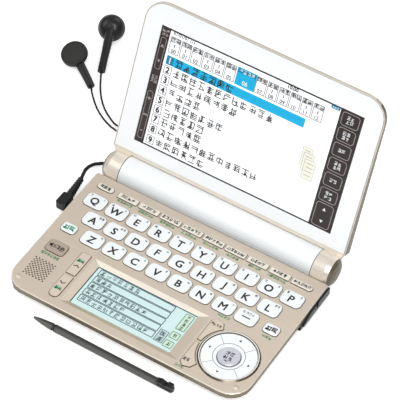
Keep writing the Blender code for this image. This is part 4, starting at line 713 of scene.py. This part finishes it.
def lathe(name, profile, matrix, materials, steps=48, closed=False, sharp_deg=40.0):
    """A piece turned about its own Z from (height, radius, material number) triples, then placed.

    A closed profile makes a ring, and an open one ends in two flat faces.
    """
    mesh = bmesh.new()
    turn = 2 * math.pi / steps
    rings = []
    for height, radius, _ in profile:
        corners = [(radius * math.cos(turn * k), radius * math.sin(turn * k), height) for k in range(steps)]
        rings.append([mesh.verts.new(matrix @ Vector(corner)) for corner in corners])
    bands = list(zip(rings, rings[1:], profile[1:], strict=False))
    if closed:
        bands.append((rings[-1], rings[0], profile[0]))
    else:
        mesh.faces.new(list(reversed(rings[0]))).material_index = profile[0][2]
        mesh.faces.new(rings[-1]).material_index = profile[-1][2]
    for lower, upper, (_, _, number) in bands:
        for k in range(steps):
            after = (k + 1) % steps
            face = mesh.faces.new((lower[k], lower[after], upper[after], upper[k]))
            face.material_index = number
    return mesh_object(name, mesh, materials, sharp_deg)


def mesh_object(name, mesh, materials, sharp_deg=40.0):
    bmesh.ops.recalc_face_normals(mesh, faces=mesh.faces)
    data = mesh_data(name, mesh)
    data.shade_smooth()
    data.set_sharp_from_angle(angle=math.radians(sharp_deg))
    return placed(name, data, materials)


def relief_end():
    turn = math.radians(RELIEF_TURN_DEG)
    way = Vector((-math.sin(turn), math.cos(turn), 0.0))
    return Vector((PLUG_X, RELIEF_START_Y, PLUG_Z)) + way * (RELIEF_LENGTH + CORD_GAP)


def make_bud(side, middle, face, leg_end, black, cloth):
    """An earbud that stands for its node: a shell with a meshed face, a stem behind it, and a vent plate."""
    place = facing(middle, face)
    profile = [(height, share * BUD_RADIUS, number) for height, share, number in BUD_PROFILE]
    shell = lathe(f"earbud_{side}_shell", profile, place, [black, cloth])
    root = place @ Vector((0.0, 0.0, STEM_ROOT))
    way = (leg_end - root).normalized()
    middle_of_stem = root.lerp(leg_end, 0.5) + Vector((0.0, 0.0, STEM_SAG))
    points, _ = smooth_through([root, middle_of_stem, leg_end - way * STEM_GAP], STEM_STEP)
    stem = tube(f"earbud_{side}_stem", points, 2 * STEM_RADIUS, black, STEM_RADII)
    back = facing(place @ Vector((0.0, 0.0, BUD_BACK)), -Vector(face))
    plate = lathe(f"earbud_{side}_vent_plate", VENT_PROFILE, back, [black, cloth])
    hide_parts(f"earbud_{side}")
    for piece in (shell, stem, plate):
        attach(piece, "base")
    return [shell, stem, plate]


def make_cords(black, rubber, cloth):
    coil = coil_points(COIL_STEPS)
    back = (coil[0] - coil[1]).normalized()
    meet = coil[0] + back * CORD_GAP
    before = coil[0] + back * (CORD_GAP + 2 * LEAD_DIAMETER)
    exit_point = relief_end()
    lead, lead_length = smooth_through([exit_point, *with_height(LEAD_ROUTE, LEAD_HEIGHT), before, meet])
    lead_piece = tube("earphone_main_cord", [*lead[:-1], *coil], LEAD_DIAMETER, rubber)
    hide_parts("earphone_lead", "earphone_coil")
    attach(lead_piece, "base")

    way = (coil[-1] - coil[-2]).normalized()
    start = coil[-1] + way * CORD_GAP
    end = start + way * SPLITTER_LENGTH - Vector((0.0, 0.0, SPLITTER_DROP))
    along = (end - start).normalized()
    aside = Vector((-along.y, along.x, 0.0)).normalized() * LEG_SPREAD
    splitter = lathe("earphone_splitter", SPLITTER_PROFILE, facing(start, along), [black], steps=24)
    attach(splitter, "base")
    for side, route, sign, middle, face in (
        ("left", LEG_LEFT_ROUTE, -1, LEFT_BUD_MIDDLE, LEFT_BUD_FACE),
        ("right", LEG_RIGHT_ROUTE, 1, RIGHT_BUD_MIDDLE, RIGHT_BUD_FACE),
    ):
        first = end + aside * sign + along * (CORD_GAP if sign < 0 else -LEG_DIAMETER)
        points, length = smooth_through([first, *with_height(route, LEG_HEIGHT)])
        leg = tube(f"earphone_cord_{side}", points, LEG_DIAMETER, rubber)
        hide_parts(f"earphone_leg_{side}")
        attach(leg, "base")
        bud = make_bud(side, middle, face, points[-1], black, cloth)


# Keys and their prints


def print_letter_keys(inks):
    """A bold letter on each key, and small hints in its rear corners."""
    top_row = "qwertyuiop"
    for name in LETTER_KEYS:
        letter = name[len("key_"):]
        plane, width, depth = top_plane(name)
        sheet = Print(f"legend_{letter}", plane, inks)
        if letter == "dash":
            sheet.box(0.0, -depth * 0.06, width * 0.40, depth * 0.075, 0)
            sheet.signs(-width * 0.20, depth * 0.25, HINT_SIZE, 4, HINT_SIZE * 1.1, 900, 2)
            sheet.done(name)
            continue
        sheet.words(letter.upper(), -width * 0.02, -depth * 0.07, LETTER_SIZE, 0, bold=LETTER_BOLD)
        seed = ord(letter) * 7
        hint_x = width / 2 - HINT_EDGE * 1.15
        hint_y = depth / 2 - HINT_EDGE
        if letter in top_row:
            number = str((top_row.index(letter) + 1) % 10)
            sheet.words(number, hint_x, hint_y, HINT_SIZE * 1.3, 2, bold=0.00004)
            sheet.sign(-width / 2 + HINT_EDGE * 1.2, hint_y, HINT_SIZE, seed, 2, 0, 0.13)
        else:
            sheet.sign(hint_x, hint_y, HINT_SIZE * 0.9, seed, 1 if seed % 3 == 0 else 2, 0, 0.15)
        if letter in "asl":
            sheet.sign(width / 2 - HINT_EDGE * 2.0, hint_y, HINT_SIZE * 0.9, seed + 1, 2, 0, 0.15)
        sheet.done(name)


def shortcut_places(low, high):
    """Where the strip's first small key starts, and the pitch of its keys."""
    left = low.x + SHORTCUT_INSET
    return left, (high.x - left + SHORTCUT_GAP) / SHORTCUT_COUNT


def print_shortcut_strip(inks):
    low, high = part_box("shortcut_key_strip")
    sheet = Print("legend_shortcuts", Matrix.Translation((0.0, (low.y + high.y) / 2, high.z)), inks)
    left, pitch = shortcut_places(low, high)
    size = SHORTCUT_SIGN
    for number, count in enumerate((4, 4, 5, 5, 5, 5, 4, 4, 5)):
        x = left + (number + 0.5) * pitch - 0.00065
        sheet.row(x, 0.0, size, count, 40 * number + 3, 0, share=0.15)
    sheet.done("shortcut_key_strip")


def print_deck(inks):
    """Green labels, and painted shade round the grille's holes, on the deck's own face."""
    deck_low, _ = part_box("keyboard_deck")
    sheet = Print("deck_labels", Matrix.Translation((0.0, 0.0, deck_low.z + DECK_FACE)), inks)
    low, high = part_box("shortcut_key_strip")
    left, pitch = shortcut_places(low, high)
    size = LABEL_SIGN
    for number, count in enumerate((5, 5, 5, 5, 5, 4, 4, 6)):
        x = left + (number + 0.5) * pitch - 0.0006
        sheet.row(x, low.y - size * 0.68, size, count, 500 + 17 * number, 1, share=0.16)
    for node, count, shift in (("voice_key", 6, 0.0), ("back_key", 3, 0.0004)):
        low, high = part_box(node)
        x = (low.x + high.x) / 2 + shift
        sheet.row(x, low.y - size * 1.1, size, count, 700 + count, 1, share=0.16)
    beside = (("front_arc_key", 0.3, 0.5, 3, 760), ("key_dash", 3.6, 0.7, 4, 780))
    for node, aside, before, count, seed in beside:
        low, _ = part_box(node)
        y = low.y - size * before
        sheet.signs(low.x - size * aside, y, size, count, size, seed, 1, share=0.13)
    pitch = GRILLE_SIDE / (GRILLE_HOLES - 1)
    for count, offset in ((GRILLE_HOLES, 0.0), (GRILLE_HOLES - 1, pitch / 2)):
        for column in range(count):
            for row in range(count):
                x = deck_low.x + GRILLE_CORNER[0] + offset + column * pitch
                y = deck_low.y + GRILLE_CORNER[1] + offset + row * pitch
                # A dark ring round each hole: painted shade
                sheet.ring(*(circle_points(x, y, radius, 8) for radius in GRILLE_RING), 3)
    sheet.done("base")


def print_small_keys(inks):
    for node, count, size, number in (
        ("power_key", 3, 0.0022, 0),
        ("function_key", 2, 0.0034, 4),
        ("back_key", 2, 0.0034, 0),
    ):
        sheet = Print(f"legend_{node}", top_plane(node)[0], inks)
        sheet.row(0.0, 0.0, size, count, 60 + count, number, share=0.16)
        sheet.done(node)

    plane, width, _ = top_plane("voice_key")
    sheet = Print("legend_voice", plane, inks)
    size = 0.0029
    sheet.signs(0.0004, 0.0, size, 2, size, 91, 0, share=0.14)
    speaker_x = -width * 0.30
    sheet.shape([(speaker_x + x, y) for x, y in SPEAKER_MARK], 0)
    for radius in (0.0011, 0.0018):
        outer = circle_points(speaker_x + 0.0006, 0.0, radius + 0.00018, 10, -45.0, 45.0)
        inner = circle_points(speaker_x + 0.0006, 0.0, radius - 0.00018, 10, -45.0, 45.0)
        for k in range(10):
            sheet.shape((inner[k], outer[k], outer[k + 1], inner[k + 1]), 0)
    sheet.done("voice_key")

    arm = PAGE_ARROW
    for node, direction in (("page_up_key", 1), ("page_down_key", -1)):
        plane, _, depth = top_plane(node)
        sheet = Print(f"legend_{node}", plane, inks)
        y = -direction * depth * 0.13
        tip = (0.0, y + direction * arm * 0.4)
        sheet.line((-arm, y - direction * arm * 0.4), tip, arm * 0.35, 0)
        sheet.line(tip, (arm, y - direction * arm * 0.4), arm * 0.35, 0, lift=1)
        sheet.signs(-0.0010, -y, 0.0023, 2, 0.0020, 12, 4, share=0.2)
        sheet.done(node)

    for node, direction, count, size in (("rear_arc_key", 1, 4, 0.0017), ("front_arc_key", -1, 2, 0.0021)):
        plane, width, depth = top_plane(node)
        sheet = Print(f"legend_{node}", plane, inks)
        sheet.signs(-width * 0.32, direction * depth * 0.25, size, count, size * 0.9, 210 + count, 0, 0, 0.14)
        sheet.done(node)


def print_pad(inks):
    """Four lines, a ring and four arrows on the sloping pad, and signs on the button in its middle."""
    plane, width, _ = top_plane("dpad_ring")
    button_plane, button_width, _ = top_plane("enter_button")
    outer = width / 2 - 0.0005
    inner = button_width / 2 + 0.0009

    def rise(x, y):
        reach = min(max(math.hypot(x, y), inner), outer)
        return -PAD_SLOPE * (outer - reach) / (outer - inner)

    sheet = Print("legend_pad", plane, inks, rise)
    for quarter in range(4):
        way = heading(PAD_LINE_DEG + 90.0 * quarter)
        ends = [PAD_LINE_START + (outer - PAD_LINE_ROOM) * step / 5 for step in range(6)]
        for near, far in pairwise(ends):
            sheet.line(way * near, way * far, PAD_LINE, 2)
    sheet.ring(circle_points(0.0, 0.0, PAD_LINE_START), circle_points(0.0, 0.0, PAD_RING), 2)
    base, tip, half = PAD_ARROW
    for quarter in range(4):
        way = heading(90.0 * quarter)
        side = Vector((-way.y, way.x)) * half
        sheet.shape([tuple(way * base - side), tuple(way * tip), tuple(way * base + side)], 0)
    sheet.done("dpad_ring")

    sheet = Print("legend_enter", button_plane, inks)
    size = 0.0027
    for y, seed in ((0.62, 312), (-0.52, 323)):
        sheet.signs(-size * 0.55, size * y, size, 2, size * 1.08, seed, 0, share=0.12)
    sheet.box(0.0, -size * 1.3, size * 0.8, size * 0.2, 0)
    sheet.done("enter_button")


def make_pad_rim(top, wall):
    """The raised rim round the pad: a white top, and a polished wall painted dark as its shade."""
    plane, _, _ = top_plane("dpad_ring")
    rim = lathe("pad_rim", PAD_RIM_PROFILE, plane, [top, wall], steps=96, closed=True, sharp_deg=25.0)
    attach(rim, "base")


# Screens


def box_piece(name, low, high, bevel, matrix, materials):
    """A bevelled slab between two corners of a frame."""
    mesh = bmesh.new()
    for vert in bmesh.ops.create_cube(mesh, size=1.0)["verts"]:
        vert.co = Vector([low[k] + (vert.co[k] + 0.5) * (high[k] - low[k]) for k in range(3)])
    bmesh.ops.bevel(mesh, geom=mesh.edges[:], offset=bevel, segments=2, affect="EDGES")
    mesh.transform(matrix)
    return mesh_object(name, mesh, materials)


def lid_matrix():
    """The lid's own frame at rest: its hinge line is X, and Z is out of the screen."""
    hinge = [j for j in frame["record"]["behaviour"]["joints"] if j["name"] == "lid_hinge"][0]
    lean = Matrix.Rotation(math.radians(180.0 - LID_OPENING_DEG), 4, "X")
    return Matrix.Translation(hinge["pos_m"]) @ lean


def draw_strips(sheet):
    """The two dark strips of screen keys, and the black lines over and under the picture."""
    middle_v = (SCREEN_LOW + SCREEN_HIGH) / 2
    height = SCREEN_HIGH - SCREEN_LOW - 0.0002
    for start, end in ((SCREEN_LEFT, LEFT_STRIP_END), (RIGHT_STRIP_START, SCREEN_RIGHT)):
        sheet.box((start + end) / 2, middle_v, end - start, height, STRIP)
    middle_x = (LEFT_STRIP_END + RIGHT_STRIP_START) / 2
    for v in (SCREEN_HIGH - 0.0006, SCREEN_LOW + 0.0006):
        sheet.box(middle_x, v, RIGHT_STRIP_START - LEFT_STRIP_END, 0.0009, BLACK)

    strip_x = (SCREEN_LEFT + LEFT_STRIP_END) / 2
    for sign_v, seed, box_v, box_height, marks in (
        (0.0872, 5, 0.0735, 0.0190, (("^", 0.0780, 0.0040), ("v", 0.0690, 0.0032))),
        (0.0592, 15, 0.0360, 0.0290, (("+", 0.0460, 0.0036), ("-", 0.0262, 0.0040))),
    ):
        for line in range(2):
            v = sign_v - line * 0.0024
            sheet.signs(strip_x - 0.0010, v, STRIP_SIGN, 2, STRIP_SIGN, seed + line, STRIP_EDGE, 1)
        sheet.border(strip_x, box_v, 0.0034, box_height, 0.0012, 0.00022, STRIP_EDGE, 1)
        for text, v, size in marks:
            sheet.words(text, strip_x, v, size, STRIP_EDGE, bold=0.00008, lift=1)
    sheet.signs(strip_x - 0.0007, 0.0360, 0.0015, 2, 0.0015, 25, STRIP_EDGE, 1)

    for number, v in enumerate(BUTTON_PLACES):
        sheet.border(BUTTON_X, v, BUTTON_WIDTH, 0.0078, 0.0016, BUTTON_LINE, STRIP_EDGE, 1)
        lines = (0.0,) if number in (2, 4) else (0.0012, -0.0013)
        for line, up in enumerate(lines):
            seed = 30 + 7 * number + line
            sheet.signs(BUTTON_X - 0.0011, v + up, STRIP_SIGN, 2, 0.0023, seed, PAPER, 1, 0.12)
    sheet.border(BUTTON_X, 0.0270, BUTTON_WIDTH, 0.0142, 0.0018, BUTTON_LINE, STRIP_EDGE, 1)
    for v, half in ((0.0306, 0.0010), (0.0234, -0.0010)):
        low_v = v - half * 0.8
        sheet.shape([(BUTTON_X - half, low_v), (BUTTON_X + half, low_v), (BUTTON_X, v + half)], PAPER, 2)


def draw_tabs(sheet):
    """The status line, and a row of numbered tabs of which one is wide and blue."""
    sheet.words("10:00", 0.0195, STATUS_V, 0.0030, BLACK, bold=0.00007, lift=1)
    sheet.words("01/01/01 (1)", -0.0475, STATUS_V, 0.0027, BLACK, bold=0.00004, lift=1)
    sheet.rounded(0.0450, STATUS_V + 0.0002, 0.0054, 0.0020, 0.0009, DEEP, 1)
    sheet.signs(0.0436, STATUS_V + 0.0002, 0.0012, 3, 0.0014, 81, PAPER, 2)

    middle_v = (TAB_LOW + TAB_HIGH) / 2
    height = TAB_HIGH - TAB_LOW
    width = WIDE_TAB * TAB_PITCH
    x = TAB_LEFT + 6 * TAB_PITCH + width / 2
    sheet.box(x, middle_v, width, height + 0.0006, BLUE, 1)
    sheet.box(x, TAB_HIGH - 0.0014, width * 0.92, 0.0024, DEEP, 2)
    sheet.signs(x - 0.0036, TAB_HIGH - 0.0014, 0.0021, 4, 0.0024, 160, PAPER, 3)
    sheet.words("06", x, TAB_LOW + 0.0021, 0.0034, PAPER, bold=0.00006, lift=3)
    for number in (*range(6), *range(8, 14)):
        left = TAB_LEFT + (number if number < 6 else number - 2 + WIDE_TAB) * TAB_PITCH
        width = min(TAB_PITCH * 0.92, TAB_END - left)
        x = left + width / 2
        sheet.box(x, TAB_HIGH - 0.0016, width, 0.0030, GREY, 1)
        sheet.border(x, middle_v, width, height, 0.0002, FRAME_LINE, TAB_EDGE, 2)
        sheet.signs(x - 0.0015, TAB_HIGH - 0.0016, 0.0029, 2, 0.0030, 100 + 9 * number, BLACK, 3)
        label = number if number < 6 else number - 1
        sheet.words(f"{label:02d}", x, TAB_LOW + 0.0018, 0.0031, BLACK, bold=0.00003, lift=3)
        if number % 3 != 2:
            sheet.box(x, TAB_LOW + 0.0049, 0.0005, 0.0019, BLACK, 3)


def draw_list(sheet):
    """The blue bar, the numbered rows of signs, and a small pile of note cards."""
    bar_v = LIST_ROWS[0][0]
    sheet.box(-0.0119, bar_v, 0.0852, 0.0053, BLUE, 1)
    sheet.box(LIST_X, bar_v, 0.0044, 0.0050, DEEP, 2)
    for number, (v, count) in enumerate(LIST_ROWS):
        if number:
            sheet.border(LIST_X, v, LIST_SIGN, 0.0052, 0.0002, FRAME_LINE, TAB_EDGE, 2)
        sheet.words(str(number + 1), LIST_X, v, LIST_SIGN, BLACK if number else PAPER, bold=0.00014, lift=3)
        sheet.signs(-0.0468, v, LIST_SIGN, count, LIST_PITCH, 1000 + 31 * number, BLACK, 3, share=0.10)

    for number, (dx, dv, width, height) in enumerate(CARDS):
        x = CARD_PLACE[0] + dx
        v = CARD_PLACE[1] + dv
        lift = 1 + 2 * number
        sheet.box(x, v, width, height, PASTEL, lift)
        sheet.border(x, v, width, height, 0.0002, 0.00018, TAB_EDGE, lift + 1)
        for line in range(4):
            sheet.box(x, v + height * (0.32 - 0.2 * line), width * 0.6, 0.0003, TAB_EDGE, lift + 1)


def make_main_screen(inks, white):
    """The lit panel with its picture: two dark key strips, tabs, a blue bar and a list of made-up signs."""
    matrix = lid_matrix()
    low = (SCREEN_LEFT, SCREEN_LOW, SCREEN_BACK)
    high = (SCREEN_RIGHT, SCREEN_HIGH, SCREEN_FACE)
    panel = box_piece("screen_panel", low, high, SCREEN_BEVEL, matrix, [white])
    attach(panel, "lid")
    sheet = Print("screen_picture", matrix @ Matrix.Translation((0.0, 0.0, SCREEN_FACE)), inks)
    draw_strips(sheet)
    draw_tabs(sheet)
    draw_list(sheet)
    sheet.done("lid")


def make_sub_screen(inks, pale):
    """The lower screen: five framed rows of signs, a hatched box and three green keys."""
    low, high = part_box("sub_screen")
    left = low.x + SUB_LAP
    front = low.y + SUB_LAP
    width = high.x - SUB_LAP - left
    depth = high.y - SUB_LAP - front
    face = high.z + SUB_RISE
    ends = ((left, front, high.z + PRINT_LIFT), (left + width, front + depth, face))
    panel = box_piece("sub_screen_panel", *ends, SUB_BEVEL, Matrix.Identity(4), [pale])
    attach(panel, "base")
    sheet = Print("sub_screen_picture", Matrix.Translation((left, front, face)), inks)
    dark, green, hatch, leaf = range(4)
    pitch = depth * 0.175
    row_left = width * 0.035
    row_right = width * 0.793
    for number, count in enumerate(SUB_SIGNS):
        y = depth * 0.895 - number * pitch
        middle = (row_left + row_right) / 2
        sheet.border(middle, y, row_right - row_left, pitch * 0.95, 0.0005, 0.00044, dark, 1)
        seed = 2000 + 23 * number
        sheet.signs(row_left + 0.0026, y, SUB_SIGN, count, SUB_SIGN_PITCH, seed, dark, 2, share=0.095)
    x = width * 0.850
    y = depth * 0.245
    sheet.box(x, y, width * 0.085, depth * 0.30, hatch, 1)
    sheet.border(x, y, width * 0.085, depth * 0.30, 0.0003, 0.0003, dark, 2)
    for row in range(2):
        sheet.sign(x, y + depth * (0.07 - 0.14 * row), 0.0032, 2200 + row, dark, 3)
    x = width * 0.945
    for y_share, h_share, marks in ((0.745, 0.42, 4), (0.385, 0.17, 1), (0.155, 0.17, 1)):
        y = depth * y_share
        sheet.rounded(x, y, width * 0.085, depth * h_share, 0.0006, green, 1)
        sheet.border(x, y, width * 0.085, depth * h_share, 0.0006, 0.00040, leaf, 2)
        for mark in range(marks):
            shift = (mark - (marks - 1) / 2) * depth * 0.10
            sheet.sign(x, y - shift, 0.0022, 2300 + 3 * mark + int(100 * y_share), dark, 3)
    sheet.box(0.00025, depth / 2, 0.0005, depth, dark, 0)
    sheet.box(width / 2, depth - 0.00025, width, 0.0005, dark, 0.5)
    sheet.done("base")


# Surroundings


def make_floor():
    """A plain floor that the camera sees as white and that keeps the object's shadow."""
    mesh = bmesh.new()
    bmesh.ops.create_grid(mesh, x_segments=2, y_segments=2, size=1.6)
    material, tree, shader = material_of("floor_white", (0.90, 0.90, 0.90), 0.8)
    set_values(shader, {"Emission Color": (1.0, 1.0, 1.0, 1.0)})
    path = node_of(tree, "LightPath")
    lift = node_of(tree, "Math", {1: 0.42}, operation="MULTIPLY")
    join(tree, path, "Is Camera Ray", lift, 0)
    join(tree, lift, "Value", shader, "Emission Strength")
    floor = placed("floor", mesh_data("floor", mesh), [material])
    floor.location.z = FLOOR_HEIGHT


def make_world():
    """Soft light that is brighter from above, and a white background for the camera."""
    world = bpy.data.worlds.new("studio")
    bpy.context.scene.world = world
    world.use_nodes = True
    tree = world.node_tree
    back = tree.nodes["Background"]
    set_values(back, {"Strength": 0.50})
    sky = node_of(tree, "TexCoord")
    split = node_of(tree, "SeparateXYZ")
    height = node_of(tree, "MapRange", {"From Min": -1.0})
    ramp = ramp_of(tree, ((0.40, (0.18, 0.19, 0.20)), (0.62, (0.40, 0.41, 0.42)), (0.85, (0.98, 0.99, 1.0))))
    join(tree, sky, "Generated", split, "Vector")
    join(tree, split, "Z", height, "Value")
    join(tree, height, "Result", ramp, "Fac")
    join(tree, ramp, "Color", back, "Color")
    white = node_of(tree, "Background", {"Color": (1.0, 1.0, 1.0, 1.0), "Strength": 1.0})
    path = node_of(tree, "LightPath")
    mix = node_of(tree, "MixShader")
    join(tree, path, "Is Camera Ray", mix, "Fac")
    join(tree, back, "Background", mix, 1)
    join(tree, white, "Background", mix, 2)
    join(tree, mix, "Shader", tree.nodes["World Output"], "Surface")


def make_lamps():
    for name, place, size, power in LAMPS:
        light = bpy.data.lights.new(name, "AREA")
        light.size = size
        light.energy = power
        lamp = placed(name, light)
        lamp.location = place
        lamp.rotation_euler = (Vector(LAMP_AIM) - Vector(place)).to_track_quat("-Z", "Y").to_euler()


def main():
    place_camera()
    black = moulded(
        "black_plastic", (0.010, 0.010, 0.011), 0.34, strength=0.12, coat=0.25, vary=0.15, specular=0.3
    )
    rubber = moulded("cord_rubber", (0.008, 0.008, 0.009), 0.5, vary=0.15, specular=0.3)
    cloth = moulded(
        "bud_mesh", (0.030, 0.030, 0.027), 0.6, grain=3000.0, strength=0.5, vary=0.4, specular=0.25
    )
    make_cords(black, rubber, cloth)

    # Painted light on the deck: its face keeps its own colour, its chamfers and sloping walls get a painted
    # highlight, its upright sides painted shade, and its walls that face the rear painted shade too
    side = ratio(CHAMPAGNE_SIDE_SHADE, CHAMPAGNE_HIGHLIGHT)
    face = ratio(CHAMPAGNE, CHAMPAGNE_HIGHLIGHT)
    deck_light_and_shade_stops = ((0.35, side), (0.55, PLAIN), (0.82, PLAIN), (0.94, face))
    deck_light_and_shade_tints = [("Z", deck_light_and_shade_stops), ("Y", REAR_WALL_SHADE, BOTH_WAYS)]
    dress(["keyboard_deck"], brushed("champagne", CHAMPAGNE_HIGHLIGHT, 0.36, 0.35, deck_light_and_shade_tints))
    dress(["bottom_case", "battery_cover"], brushed("case_gold", CASE_GOLD, 0.38, 0.45))
    # The lid's faces that look sideways are darkened: painted shade
    lid_shade_stops = ((0.35, PLAIN), (0.65, ratio(LID_SIDE_SHADE, LID_GOLD)))
    dress(["lid_shell"], brushed("lid_gold", LID_GOLD, 0.30, 0.4, [("X", lid_shade_stops)]))
    dress(["lid_bezel"], moulded("gloss_white", GLOSS_WHITE, 0.14, **POLISHED))
    # The barrel's grey band low on its front is painted shade
    barrel_shade_tints = [("Z", BARREL_SHADE_BAND, BOTH_WAYS)]
    dress(["hinge_barrel"], moulded("barrel_white", GLOSS_WHITE, 0.14, tints=barrel_shade_tints, **POLISHED))
    dress(["hinge_shaft"], brushed("shaft_steel", (0.55, 0.55, 0.56), 0.3, 1.0))
    pad_white = key_material("pad_white", shade(KEY_WHITE, 1.02), 0.25)
    dress(["dpad_ring"], pad_white)
    dress(["enter_button"], brushed("button_silver", (0.66, 0.66, 0.72), 0.32, 0.3))
    low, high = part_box("stylus")
    # The stylus's dark rings and end are its own colour; the shading across it is painted light
    stylus_ring_and_light_tints = [("X", STYLUS_RINGS, (low.x, high.x), "Object"), ("Z", STYLUS_PAINTED_LIGHT, BOTH_WAYS)]
    dress(["stylus"], moulded("stylus_graphite", GRAPHITE, 0.30, vary=0.2, tints=stylus_ring_and_light_tints, coat=0.2))
    dress(["battery"], moulded("battery_wrap", (0.05, 0.06, 0.09), 0.5))
    dress(["main_board"], moulded("board_green", (0.03, 0.20, 0.09), 0.5))
    dress(["main_screen", "sub_screen"], moulded("screen_edge", (0.02, 0.02, 0.02), 0.3))
    dress(["speaker", "dpad_rocker", "stylus_holder", "earphone_plug"], black)
    dress([*LETTER_KEYS, "function_key", "back_key"], key_material("key_white", KEY_WHITE))
    dress(["power_key", "shortcut_key_strip"], key_material("key_cream", KEY_CREAM))
    dress(["voice_key"], key_material("key_brown", VOICE_BROWN))
    champagne_keys = ("page_up_key", "page_down_key", "rear_arc_key", "front_arc_key")
    dress(champagne_keys, key_material("key_champagne", shade(CHAMPAGNE, 0.95)))

    key_inks = [ink(*row) for row in KEY_INKS]
    print_letter_keys(key_inks)
    print_shortcut_strip(key_inks)
    print_small_keys(key_inks)
    print_deck(key_inks)
    print_pad(key_inks)
    # The rim's outer wall is coloured dark: painted shade
    make_pad_rim(pad_white, brushed("rim_wall_shade", (0.16, 0.13, 0.10), 0.18, 0.7))
    screen_inks = [key_inks[0], *(ink(*row) for row in SCREEN_INKS)]
    make_main_screen(screen_inks, glowing("screen_white", SCREEN_WHITE, 0.25))
    make_sub_screen([ink(*row) for row in LCD_INKS], glowing("lcd_pale", LCD_PALE, 0.05))

    bpy.context.scene.view_settings.view_transform = "Standard"
    make_floor()
    make_world()
    make_lamps()


main()
